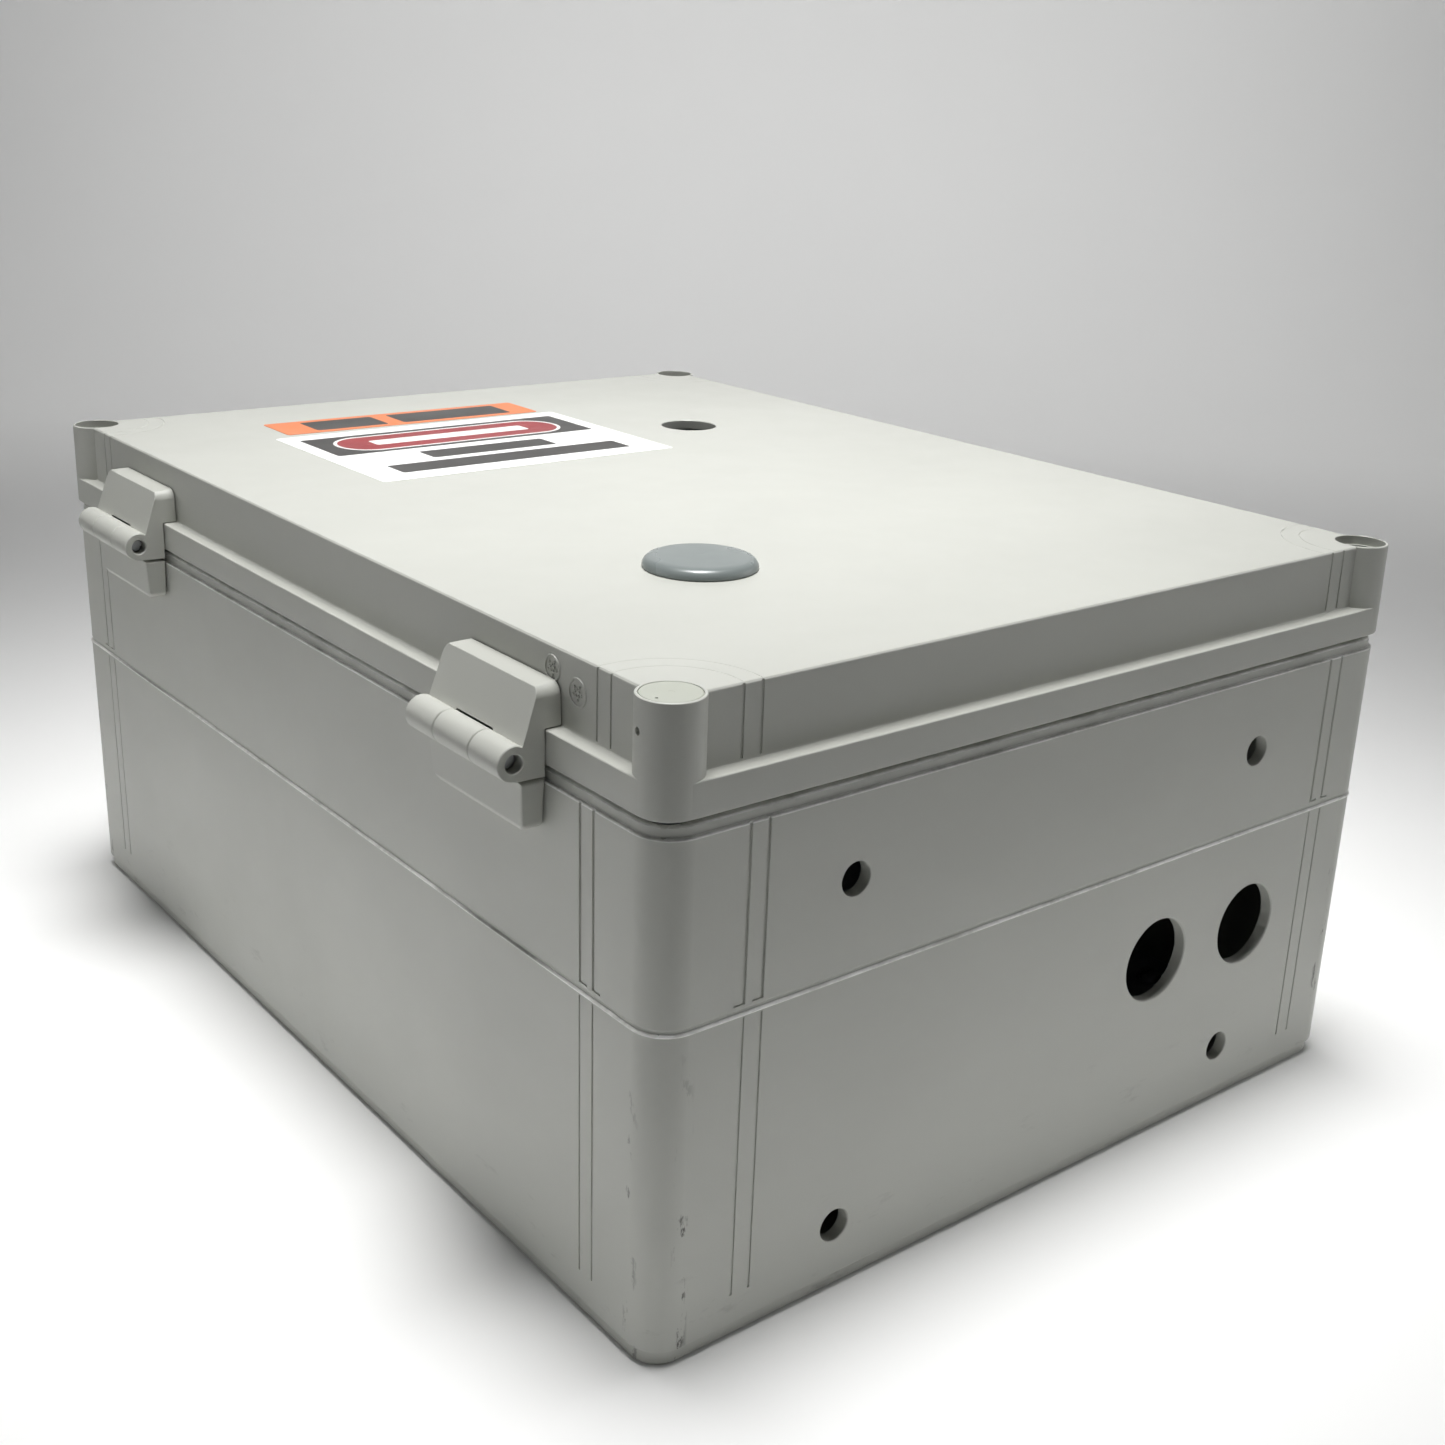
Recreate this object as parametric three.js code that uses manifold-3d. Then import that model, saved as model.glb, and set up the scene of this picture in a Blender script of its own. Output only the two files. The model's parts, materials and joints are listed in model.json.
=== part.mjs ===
// Surface-mounted AC disconnect enclosure: deep moulded base and hinged cover, with a switch
// on a rail inside. Millimetres. The box lies on its back: +Z points out of
// the wall through the cover, +Y up the wall, +X to the right. The origin is the centre of
// the rear face. The hinges are on the -X side and the conduit entries on the -Y side.
import * as THREE from 'three';
import { mergeVertices } from 'three/addons/utils/BufferGeometryUtils.js';
import Module from 'manifold-3d';

const wasm = await Module();
wasm.setup();

// ---- driving dimensions -------------------------------------------------------------
const WIDTH = 300;
const LENGTH = 400;
const CORNER_R = 11;
const WALL = 4;
const DRAFT = 0.0077;
const CLEARANCE = 0.3;
const REST_GAP = 0.1;

// Heights above the rear face.
const WALL_FOOT_Z = 4.5;
const RIM_STEP_Z = 152.4;
const RIM_TOP_Z = 155.4;
const COVER_FOOT_Z = 157.1;
const LEDGE_Z = 166.7;
const TOP_Z = 187.2;

const PLINTH_INSET = 2.4;
const PLINTH_CORNER_R = 9;
const RAISED_CORNER_R = 4;
const FLOOR_T = 4;
const RIM_INSET = 0.7;
const RIM_DEPTH = 6.4;
const LEDGE_W = 5;
const PLATE_T = 3.5;

// Corner posts of the cover, which stand just inside both outer faces and bulge past the arc.
const POST_R = 8.9;
const POST_INSET = 9;
const POST_X = WIDTH / 2 - POST_INSET;
const POST_Y = LENGTH / 2 - POST_INSET;
const POST_CORE_R = 10.2;
const POST_BORE_R = 7;
const CAP_BORE_R = 8;
const CAP_BORE_DEPTH = 3;
const POST_FLOOR_Z = 165;
const SHANK_HOLE_R = 3.6;
const COLUMN_R = 11;
const SOCKET_R = 5.2;
const SOCKET_FLOOR_Z = 143;

// Seal line: how far each edge of the channel and its neighbours lies inside the outer face.
const CHANNEL_OUTER = 3.5;
const CHANNEL_INNER = 8.5;
const LIP_INNER = 11.5;
const TONGUE_OUTER = 5;
const TONGUE_INNER = 7;
const RIM_INNER = 9.5;
const POST_TO_SEAL = 7.3;
const CHANNEL_ROOF_Z = 163.2;
const LIP_FOOT_Z = 158.2;
const TONGUE_TOP_Z = 158.5;

// Openings: x, y or x, z of the centre, and radius.
const CONDUIT_R = 14;
const CONDUIT_Z = 64.8;
const CONDUIT_XS = [46.5, 92];
const FIXING_R = 5;
const FIXING_X = 85.5;
const FIXING_ZS = [21, 127.5];
const PILOT_HOLE = { x: 66, y: 79, r: 11.25 };
const PLUG_HOLE = { x: -66.5, y: -104, r: 15.25 };
const SEAL_HOLE = { y: -188, z: 177, r: 0.75 };

// Hinges on the -X side.
const PIN_X = -159.5;
const PIN_Z = 159.3;
const PIN_R = 2.35;
const PIN_HOLE_R = 2.55;
const KNUCKLE_R = 4.9;
const HINGE_Y = 126.5;
const HINGE_L = 48;
const CENTRE_KNUCKLE_L = 18;
const PIN_L = 42;
const LEAF_FOOT_Z = 154;
const LEAF_BACK_Z = 178.5;
const LEAF_FRONT_Z = 178.2;
const LEAF_FRONT_X = -153.6;
const FIXED_LEAF_FOOT_Z = 139.5;
const FIXED_LEAF_TOP_Z = 153.3;
const FIXED_LEAF_X = -157.4;

// Fasteners and fittings inside.
const PLATE_SCREW_X = 110;
const PLATE_SCREW_Y = 150;
const PLATE_BOSS_Z = 16;
const PLATE_BOSS_R = 6;
const PLATE_SCREW_HOLE_R = 2.4;
const PANEL_W = 250;
const PANEL_L = 350;
const PANEL_CORNER_R = 4;
const PANEL_T = 1.6;
const PANEL_Z = PLATE_BOSS_Z + REST_GAP;
const PANEL_TOP_Z = PANEL_Z + PANEL_T;
const RAIL_Y = 40;
const RAIL_L = 200;
const RAIL_W = 35;
const RAIL_CHANNEL_W = 27;
const RAIL_T = 1;
const RAIL_SCREW_X = 85;
const CLEAR_HOLE_R = 2.6;
const RAIL_Z = PANEL_TOP_Z + REST_GAP;
const RAIL_H = 7.5;
const SWITCH_W = 72;
const SWITCH_H = 90;
const SWITCH_Z = RAIL_Z + 1.4;
const SHOULDER_H = 44;
const NOSE_H = 58;
const NOSE_FOOT = 24;
const NOSE_TIP = 22.5;
const RAIL_SLOT_HALF = 18;
const LEVER_Z = SWITCH_Z + NOSE_H;
const LEVER_LEAN = 40;
const LEVER_R = 10.4;
const LEVER_HALF = 14.6;
const LEVER_SLOT_R = 11;
const LEVER_SLOT_HALF = 15;
const PADDLE = { w: 26, t: 6, l: 16, middle: 14 };
const TERMINAL_X = 18;
const TERMINAL_Y = 34;
const TERMINAL_R = 5;
const TERMINAL_FLOOR = 34;
const WIRE_WAY = { half: 5, deep: 14, low: 18, high: 29 };
const BAR_Y = -95;
const BAR_X = 55;
const BAR_L = 90;
const BAR_W = 12;
const BAR_H = 8;
const SUPPORT_XS = [-90, -20];
const SUPPORT = { w: 12, l: 16, h: 16 };

// Screws: radius and height of the head, radius and length of the shank.
const PLATE_SCREW = [4.5, 2.8, 1.9, 10];
const RAIL_SCREW = [4.2, 2.6, 1.9, 5];
const TERMINAL_SCREW = [4.2, 3, 1.8, 3];
const BAR_SCREW = [3.6, 2.4, 2, 3];
const SLOT_W = 1.2;

// Labels: left, right, lower and upper edges.
const VOLTAGE_LABEL = [-86.8, 27.5, 133.9, 159.3];
const WARNING_LABEL = [-94.5, 32.5, 42.3, 131.2];
const LABEL_T = 0.25;

// Facets: steps on a housing corner, and sides of large and small rounds.
const CORNER_STEPS = 4;
const SIDES = 16;
const FINE_SIDES = 28;
const SCREW_SIDES = 12;

// ---- materials ----------------------------------------------------------------------
function plastic(color, roughness = 0.5) {
  return new THREE.MeshStandardMaterial({ color, roughness, metalness: 0 });
}

function metal(color, roughness = 0.35) {
  return new THREE.MeshStandardMaterial({ color, roughness, metalness: 1 });
}

const PAINTS = {
  housing: plastic(0xc9ccc8, 0.45),
  plug: plastic(0xb0b6b1, 0.3),
  cap: plastic(0xb9bfb4, 0.4),
  gasket: plastic(0x151515, 0.9),
  orangeLabel: plastic(0xe2571e, 0.4),
  whiteLabel: plastic(0xf2f2f0, 0.4),
  switchCase: plastic(0xdcdcd8, 0.5),
  lever: plastic(0x1c1c1e, 0.4),
  support: plastic(0x2a4f9c, 0.5),
  steel: metal(0xb8bcc0),
  brass: metal(0xc9a24a),
  screw: metal(0x9fa2a6),
};

// ---- solids -------------------------------------------------------------------------
function solid(geometry) {
  const bare = geometry.clone();
  bare.deleteAttribute('normal');
  bare.deleteAttribute('uv');
  const merged = mergeVertices(bare, 1e-4);
  const vertProperties = new Float32Array(merged.attributes.position.array);
  const triVerts = new Uint32Array(merged.index.array);
  return new wasm.Manifold(new wasm.Mesh({ numProp: 3, vertProperties, triVerts }));
}

function geometryOf(body) {
  const { vertProperties, triVerts } = body.getMesh();
  const geometry = new THREE.BufferGeometry();
  geometry.setAttribute('position', new THREE.BufferAttribute(new Float32Array(vertProperties), 3));
  geometry.setIndex(new THREE.BufferAttribute(new Uint32Array(triVerts), 1));
  geometry.computeVertexNormals();
  return geometry;
}

function join(bodies) {
  return bodies.reduce((whole, body) => whole.add(body));
}

function cut(body, tools) {
  return tools.reduce((rest, tool) => rest.subtract(tool), body);
}

function roundedRectangle(width, length, radius) {
  const x = width / 2 - radius;
  const y = length / 2 - radius;
  const shape = new THREE.Shape();
  shape.absarc(x, y, radius, 0, Math.PI / 2);
  shape.absarc(-x, y, radius, Math.PI / 2, Math.PI);
  shape.absarc(-x, -y, radius, Math.PI, 1.5 * Math.PI);
  shape.absarc(x, -y, radius, 1.5 * Math.PI, 2 * Math.PI);
  return shape;
}

function prism(width, length, radius, z0, z1) {
  const shape = roundedRectangle(width, length, radius);
  const geometry = new THREE.ExtrudeGeometry(shape, {
    depth: z1 - z0,
    bevelEnabled: false,
    curveSegments: CORNER_STEPS,
  });
  return solid(geometry.translate(0, 0, z0));
}

// A prism whose outline is inset from the outer face, narrowing downwards with the draft.
function drafted(inset, z0, z1) {
  const insetAt = (z) => inset + DRAFT * (COVER_FOOT_Z - z);
  const topW = WIDTH - 2 * insetAt(z1);
  const topL = LENGTH - 2 * insetAt(z1);
  const radius = Math.max(CORNER_R - insetAt(z1), 2);
  const geometry = new THREE.ExtrudeGeometry(roundedRectangle(topW, topL, radius), {
    depth: z1 - z0,
    bevelEnabled: false,
    curveSegments: CORNER_STEPS,
  });
  const place = geometry.attributes.position;
  const narrowX = (WIDTH - 2 * insetAt(z0)) / topW;
  const narrowY = (LENGTH - 2 * insetAt(z0)) / topL;
  for (let i = 0; i < place.count; i += 1) {
    if (place.getZ(i) === 0) {
      place.setXY(i, place.getX(i) * narrowX, place.getY(i) * narrowY);
    }
  }
  return solid(geometry.translate(0, 0, z0));
}

function block(x0, x1, y0, y1, z0, z1) {
  const geometry = new THREE.BoxGeometry(x1 - x0, y1 - y0, z1 - z0);
  return solid(geometry.translate((x0 + x1) / 2, (y0 + y1) / 2, (z0 + z1) / 2));
}

function cylinderZ(x, y, r, z0, z1, segments = SIDES) {
  const geometry = new THREE.CylinderGeometry(r, r, z1 - z0, segments).rotateX(Math.PI / 2);
  return solid(geometry.translate(x, y, (z0 + z1) / 2));
}

function cylinderY(x, z, r, y0, y1, segments = SIDES) {
  const geometry = new THREE.CylinderGeometry(r, r, y1 - y0, segments);
  return solid(geometry.translate(x, (y0 + y1) / 2, z));
}

function cylinderX(y, z, r, x0, x1, segments = SIDES) {
  const geometry = new THREE.CylinderGeometry(r, r, x1 - x0, segments).rotateZ(Math.PI / 2);
  return solid(geometry.translate((x0 + x1) / 2, y, z));
}

// A solid of revolution about +Z. Its points, [radius, z], run
// from the lower end of the axis to the upper end.
function turned(points, segments = SCREW_SIDES) {
  const profile = points.map(([r, z]) => new THREE.Vector2(r, z));
  const geometry = new THREE.LatheGeometry(profile, segments);
  return solid(geometry.rotateX(Math.PI / 2));
}

// An outline in X and Z, extruded from y0 to y1.
function extrudedY(shape, y0, y1, curveSegments = 10) {
  const geometry = new THREE.ExtrudeGeometry(shape, {
    depth: y1 - y0,
    bevelEnabled: false,
    curveSegments,
  });
  return solid(geometry.rotateX(Math.PI / 2).translate(0, y1, 0));
}

// An outline in Y and Z, extruded from x0 to x1.
function extrudedX(shape, x0, x1) {
  const geometry = new THREE.ExtrudeGeometry(shape, { depth: x1 - x0, bevelEnabled: false });
  return solid(geometry.rotateX(Math.PI / 2).rotateZ(Math.PI / 2).translate(x0, 0, 0));
}

function polygon(points) {
  return new THREE.Shape(points.map(([a, b]) => new THREE.Vector2(a, b)));
}

function fourCorners(x, y) {
  return [[-x, -y], [x, -y], [x, y], [-x, y]];
}

// The area inside the seal line at an inset: a rectangle that dodges the corner posts.
function insideSeal(inset, z0, z1) {
  const area = block(
    inset - WIDTH / 2, WIDTH / 2 - inset, inset - LENGTH / 2, LENGTH / 2 - inset, z0, z1);
  const dodge = fourCorners(POST_X, POST_Y)
    .map(([x, y]) => cylinderZ(x, y, inset + POST_TO_SEAL, z0 - 1, z1 + 1));
  const corners = fourCorners(WIDTH / 2, LENGTH / 2)
    .map(([x, y]) => block(
      Math.min(x, Math.sign(x) * POST_X), Math.max(x, Math.sign(x) * POST_X),
      Math.min(y, Math.sign(y) * POST_Y), Math.max(y, Math.sign(y) * POST_Y), z0 - 1, z1 + 1));
  return cut(area, [...dodge, ...corners]);
}

function sealRing(outer, inner, z0, z1) {
  return insideSeal(outer, z0, z1).subtract(insideSeal(inner, z0 - 1, z1 + 1));
}

function fixingHoles(z) {
  return [-FIXING_X, FIXING_X]
    .map((x) => cylinderY(x, z, FIXING_R, -LENGTH / 2 - 5, -LENGTH / 2 + 12));
}

// ---- housing ------------------------------------------------------------------------
// One deep moulding. The rim is thickened inwards to carry the sealing tongue, and a column
// in each corner takes a cover screw.
function base() {
  const plinth = prism(
    WIDTH - 2 * PLINTH_INSET, LENGTH - 2 * PLINTH_INSET, PLINTH_CORNER_R, 0, WALL_FOOT_Z + 1);
  const walls = drafted(0, WALL_FOOT_Z, RIM_STEP_Z);
  const rim = drafted(RIM_INSET, RIM_STEP_Z - 1, RIM_TOP_Z);
  const shell = cut(join([plinth, walls, rim]), [
    drafted(WALL, FLOOR_T, RIM_TOP_Z - RIM_DEPTH),
    insideSeal(RIM_INNER, RIM_TOP_Z - RIM_DEPTH - 1, RIM_TOP_Z + 1),
  ]);
  const columns = fourCorners(POST_X, POST_Y)
    .map(([x, y]) => cylinderZ(x, y, COLUMN_R, 1, RIM_TOP_Z - 1)
      .intersect(drafted(2, 1, RIM_TOP_Z)));
  const plateBosses = fourCorners(PLATE_SCREW_X, PLATE_SCREW_Y)
    .map(([x, y]) => cylinderZ(x, y, PLATE_BOSS_R, 1, PLATE_BOSS_Z));
  const tongue = sealRing(TONGUE_OUTER, TONGUE_INNER, RIM_TOP_Z - 1, TONGUE_TOP_Z);
  const sockets = fourCorners(POST_X, POST_Y)
    .map(([x, y]) => cylinderZ(x, y, SOCKET_R, SOCKET_FLOOR_Z, RIM_TOP_Z + 1));
  const plateHoles = fourCorners(PLATE_SCREW_X, PLATE_SCREW_Y)
    .map(([x, y]) => cylinderZ(x, y, PLATE_SCREW_HOLE_R, 5, PLATE_BOSS_Z + 1, SCREW_SIDES));
  const conduits = CONDUIT_XS.map((x) => cylinderY(
    x, CONDUIT_Z, CONDUIT_R, -LENGTH / 2 - 5, -LENGTH / 2 + 12, FINE_SIDES));
  return cut(join([shell, ...columns, ...plateBosses, tongue]), [
    ...sockets, ...plateHoles, ...conduits, ...FIXING_ZS.flatMap(fixingHoles),
  ]);
}

function cover() {
  const skirt = prism(WIDTH, LENGTH, CORNER_R, COVER_FOOT_Z, LEDGE_Z);
  const raised = prism(
    WIDTH - 2 * LEDGE_W, LENGTH - 2 * LEDGE_W, RAISED_CORNER_R, COVER_FOOT_Z + 2, TOP_Z);
  const posts = fourCorners(POST_X, POST_Y)
    .map(([x, y]) => cylinderZ(x, y, POST_R, COVER_FOOT_Z, TOP_Z, FINE_SIDES));
  const cavity = cut(
    block(
      CHANNEL_INNER - WIDTH / 2, WIDTH / 2 - CHANNEL_INNER,
      CHANNEL_INNER - LENGTH / 2, LENGTH / 2 - CHANNEL_INNER, LEDGE_Z - 2, TOP_Z - PLATE_T),
    fourCorners(POST_X, POST_Y).map(([x, y]) => cylinderZ(x, y, POST_CORE_R, LEDGE_Z - 3, TOP_Z)));
  const mouth = insideSeal(LIP_INNER, COVER_FOOT_Z - 1, LEDGE_Z);
  const channel = sealRing(CHANNEL_OUTER, CHANNEL_INNER, COVER_FOOT_Z - 1, CHANNEL_ROOF_Z);
  const lipRelief = insideSeal(CHANNEL_INNER - 0.1, COVER_FOOT_Z - 1, LIP_FOOT_Z);
  const bores = fourCorners(POST_X, POST_Y).flatMap(([x, y]) => [
    cylinderZ(x, y, POST_BORE_R, POST_FLOOR_Z, TOP_Z + 1),
    cylinderZ(x, y, CAP_BORE_R, TOP_Z - CAP_BORE_DEPTH, TOP_Z + 1, FINE_SIDES),
    cylinderZ(x, y, SHANK_HOLE_R, COVER_FOOT_Z - 1, POST_FLOOR_Z + 1, SCREW_SIDES),
  ]);
  const holes = [PILOT_HOLE, PLUG_HOLE]
    .map(({ x, y, r }) => cylinderZ(x, y, r, TOP_Z - 10, TOP_Z + 1, FINE_SIDES));
  const sealHole = cylinderX(
    SEAL_HOLE.y, SEAL_HOLE.z, SEAL_HOLE.r, -WIDTH / 2 - 2, -POST_X + 2, 8);
  return cut(join([skirt, raised, ...posts]), [
    cavity, mouth, channel, lipRelief, ...bores, ...holes, sealHole,
  ]);
}

function coverGasket() {
  return sealRing(CHANNEL_OUTER + 0.4, CHANNEL_INNER - 0.4, TONGUE_TOP_Z + 0.4, CHANNEL_ROOF_Z - 0.3);
}

// ---- hinges -------------------------------------------------------------------------
// The leaf sits on the cover's ledge, folds over the skirt and ends in two outer knuckles.
function coverLeaf(y) {
  const wallX = -WIDTH / 2 - CLEARANCE;
  const raisedX = -WIDTH / 2 + LEDGE_W - CLEARANCE;
  const shape = new THREE.Shape();
  shape.moveTo(wallX, LEAF_FOOT_Z);
  shape.lineTo(wallX, LEDGE_Z + CLEARANCE);
  shape.lineTo(raisedX, LEDGE_Z + CLEARANCE);
  shape.lineTo(raisedX, LEAF_BACK_Z - 0.9);
  shape.quadraticCurveTo(raisedX, LEAF_BACK_Z, raisedX - 1, LEAF_BACK_Z);
  shape.lineTo(LEAF_FRONT_X + 2, LEAF_FRONT_Z);
  shape.quadraticCurveTo(LEAF_FRONT_X + 0.4, LEAF_FRONT_Z - 0.1, LEAF_FRONT_X, LEAF_FRONT_Z - 1.6);
  shape.absarc(PIN_X, PIN_Z, KNUCKLE_R, Math.PI / 3, 1.5 * Math.PI);
  shape.closePath();
  const leaf = extrudedY(shape, y - HINGE_L / 2, y + HINGE_L / 2);
  const half = CENTRE_KNUCKLE_L / 2 + CLEARANCE;
  return cut(leaf, [
    cylinderY(PIN_X, PIN_Z, KNUCKLE_R + 0.6, y - half, y + half),
    block(PIN_X - 6, wallX + 1, y - half, y + half, LEAF_FOOT_Z - 4, PIN_Z),
    cylinderY(PIN_X, PIN_Z, PIN_HOLE_R, y - HINGE_L, y + HINGE_L),
  ]);
}

// The fixed leaf lies on the base's wall and carries the centre knuckle.
function baseLeaf(y) {
  const wallX = -WIDTH / 2 - CLEARANCE;
  const plate = polygon([
    [wallX, FIXED_LEAF_FOOT_Z], [wallX, FIXED_LEAF_TOP_Z], [FIXED_LEAF_X, FIXED_LEAF_TOP_Z],
    [FIXED_LEAF_X, FIXED_LEAF_FOOT_Z + 1.7], [FIXED_LEAF_X + 1.2, FIXED_LEAF_FOOT_Z],
  ]);
  const web = polygon([
    [-152, FIXED_LEAF_TOP_Z - 0.8], [-152, 157.5], [PIN_X + 2, PIN_Z - 1], [PIN_X, 156],
    [FIXED_LEAF_X, FIXED_LEAF_TOP_Z - 0.8],
  ]);
  const half = CENTRE_KNUCKLE_L / 2;
  const body = join([
    extrudedY(plate, y - HINGE_L / 2, y + HINGE_L / 2),
    extrudedY(web, y - half, y + half),
    cylinderY(PIN_X, PIN_Z, KNUCKLE_R, y - half, y + half),
  ]);
  return body.subtract(cylinderY(PIN_X, PIN_Z, PIN_HOLE_R, y - HINGE_L, y + HINGE_L));
}

function hingePin(y) {
  return cylinderY(PIN_X, PIN_Z, PIN_R, y - PIN_L / 2, y + PIN_L / 2);
}

// ---- fasteners and trims --------------------------------------------------------------
function slotted(body, headR, topZ, depth = 1.4) {
  return body.subtract(
    block(-headR - 1, headR + 1, -SLOT_W / 2, SLOT_W / 2, topZ - depth, topZ + 1));
}

// A pan-head screw about its own axis, the head's seat at z = 0.
function panScrew([headR, headH, shankR, shankL]) {
  const body = turned([
    [0, -shankL], [shankR * 0.6, -shankL], [shankR, -shankL + 1], [shankR, 0], [headR, 0],
    [headR, headH * 0.6], [headR * 0.8, headH], [0, headH],
  ]);
  return slotted(body, headR, headH);
}

function coverScrew() {
  const body = turned([
    [0, -13.2], [2.2, -13.2], [3, -12], [3, 0], [5.5, 0], [5.5, 4.4], [5, 5], [0, 5],
  ]);
  return slotted(body, 5.5, 5, 2);
}

function holePlug() {
  return turned([
    [0, 1.6], [12.6, 0.6], [12.6, -8], [14.4, -8], [15.6, -4.6], [14.7, -3.9], [14.7, REST_GAP],
    [17.5, REST_GAP], [17.5, 0.4], [16.8, 1.3], [14.5, 2.6], [9, 3.6], [0, 3.9],
  ], FINE_SIDES);
}

function postCap() {
  const z = TOP_Z - 0.3;
  return turned([
    [0, z - 2.2], [5, z - 2.2], [5, z - 6], [6.2, z - 6], [6.2, z - 2.2], [7.7, z - 2.2],
    [7.7, z - 0.3], [7.5, z], [0, z],
  ], FINE_SIDES);
}

function label([x0, x1, y0, y1]) {
  const z0 = TOP_Z + 0.05;
  return block(x0, x1, y0, y1, z0, z0 + LABEL_T);
}

// ---- inside ---------------------------------------------------------------------------
function mountingPlate() {
  const plate = prism(PANEL_W, PANEL_L, PANEL_CORNER_R, PANEL_Z, PANEL_TOP_Z);
  const holes = fourCorners(PLATE_SCREW_X, PLATE_SCREW_Y)
    .map(([x, y]) => cylinderZ(x, y, CLEAR_HOLE_R, 10, 25, SCREW_SIDES));
  const railHoles = [-RAIL_SCREW_X, RAIL_SCREW_X]
    .map((x) => cylinderZ(x, RAIL_Y, PLATE_SCREW_HOLE_R, 10, 25, SCREW_SIDES));
  return cut(plate, [...holes, ...railHoles]);
}

// A 35 mm top-hat rail.
function dinRail() {
  const t = RAIL_T;
  const lip = RAIL_W / 2;
  const side = RAIL_CHANNEL_W / 2;
  const outline = [
    [-lip, RAIL_H], [t - side, RAIL_H], [t - side, t], [side - t, t], [side - t, RAIL_H],
    [lip, RAIL_H], [lip, RAIL_H - t], [side, RAIL_H - t], [side, 0], [-side, 0],
    [-side, RAIL_H - t], [-lip, RAIL_H - t],
  ].map(([y, z]) => [y + RAIL_Y, z + RAIL_Z]);
  const rail = extrudedX(polygon(outline), -RAIL_L / 2, RAIL_L / 2);
  return cut(rail, [-RAIL_SCREW_X, RAIL_SCREW_X].map((x) => cylinderZ(
    x, RAIL_Y, CLEAR_HOLE_R, RAIL_Z - 1, RAIL_Z + 3, SCREW_SIDES)));
}

// The switch's case: terminals on the shoulders, the lever in the nose, a rail slot behind.
function switchCase() {
  const h = SWITCH_H / 2;
  const outline = [
    [-h, 0], [h, 0], [h, SHOULDER_H], [NOSE_FOOT, SHOULDER_H], [NOSE_TIP, NOSE_H],
    [-NOSE_TIP, NOSE_H], [-NOSE_FOOT, SHOULDER_H], [-h, SHOULDER_H],
  ].map(([y, z]) => [y + RAIL_Y, z + SWITCH_Z]);
  const body = extrudedX(polygon(outline), -SWITCH_W / 2, SWITCH_W / 2);
  const railSlot = block(
    -SWITCH_W, SWITCH_W, RAIL_Y - RAIL_SLOT_HALF, RAIL_Y + RAIL_SLOT_HALF,
    SWITCH_Z - 1, RAIL_Z + RAIL_H + 0.4);
  const leverSlot = cylinderX(
    RAIL_Y, LEVER_Z, LEVER_SLOT_R, -LEVER_SLOT_HALF, LEVER_SLOT_HALF, FINE_SIDES);
  const terminals = terminalPlaces()
    .map(([x, y]) => cylinderZ(
      x, y, TERMINAL_R, SWITCH_Z + TERMINAL_FLOOR, SWITCH_Z + SHOULDER_H + 2));
  const { half, deep, low, high } = WIRE_WAY;
  const wireWays = terminalPlaces().map(([x, y]) => block(
    x - half, x + half, y < RAIL_Y ? RAIL_Y - h - 1 : RAIL_Y + h - deep,
    y < RAIL_Y ? RAIL_Y - h + deep : RAIL_Y + h + 1, SWITCH_Z + low, SWITCH_Z + high));
  return cut(body, [railSlot, leverSlot, ...terminals, ...wireWays]);
}

function terminalPlaces() {
  return fourCorners(TERMINAL_X, TERMINAL_Y).map(([x, y]) => [x, y + RAIL_Y]);
}

// The lever's drum turns about X at the nose; the paddle leans towards -Y at rest.
function switchLever() {
  const drum = cylinderX(0, 0, LEVER_R, -LEVER_HALF, LEVER_HALF, FINE_SIDES);
  const paddle = new THREE.BoxGeometry(PADDLE.w, PADDLE.t, PADDLE.l)
    .translate(0, 0, PADDLE.middle)
    .rotateX(THREE.MathUtils.degToRad(LEVER_LEAN));
  return drum.add(solid(paddle));
}

function terminalBar(length) {
  const bar = block(-length / 2, length / 2, -BAR_W / 2, BAR_W / 2, 0, BAR_H);
  const places = barScrewPlaces(length);
  const holes = places.map((x) => cylinderZ(x, 0, CLEAR_HOLE_R, 2, BAR_H + 1, 8));
  const wires = places.map((x) => cylinderY(x, BAR_H / 2, 1.6, -7, 7, 6));
  return cut(bar, [...holes, ...wires]);
}

function barScrewPlaces(length) {
  return [-0.36, -0.12, 0.12, 0.36].map((part) => part * length);
}

function barSupport() {
  return block(-SUPPORT.w / 2, SUPPORT.w / 2, -SUPPORT.l / 2, SUPPORT.l / 2, 0, SUPPORT.h);
}

// ---- assembly -------------------------------------------------------------------------
const box = new THREE.Group();

function place(name, body, material, x = 0, y = 0, z = 0, parent = box) {
  const mesh = new THREE.Mesh(geometryOf(body), material);
  mesh.name = name;
  mesh.position.set(x, y, z);
  parent.add(mesh);
}

function placeEach(name, places, build, material, z) {
  places.forEach(([x, y], i) => place(`${name}_${i + 1}`, build(), material, x, y, z));
}

place('base', base(), PAINTS.housing);
place('cover', cover(), PAINTS.housing);
place('cover_gasket', coverGasket(), PAINTS.gasket);
place('hole_plug', holePlug(), PAINTS.plug, PLUG_HOLE.x, PLUG_HOLE.y, TOP_Z);
place('post_cap', postCap(), PAINTS.cap, -POST_X, -POST_Y, 0);
place('voltage_label', label(VOLTAGE_LABEL), PAINTS.orangeLabel);
place('warning_label', label(WARNING_LABEL), PAINTS.whiteLabel);

[-HINGE_Y, HINGE_Y].forEach((y, i) => {
  place(`hinge_cover_leaf_${i + 1}`, coverLeaf(y), PAINTS.housing);
  place(`hinge_base_leaf_${i + 1}`, baseLeaf(y), PAINTS.housing);
  place(`hinge_pin_${i + 1}`, hingePin(y), PAINTS.screw);
});

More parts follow.
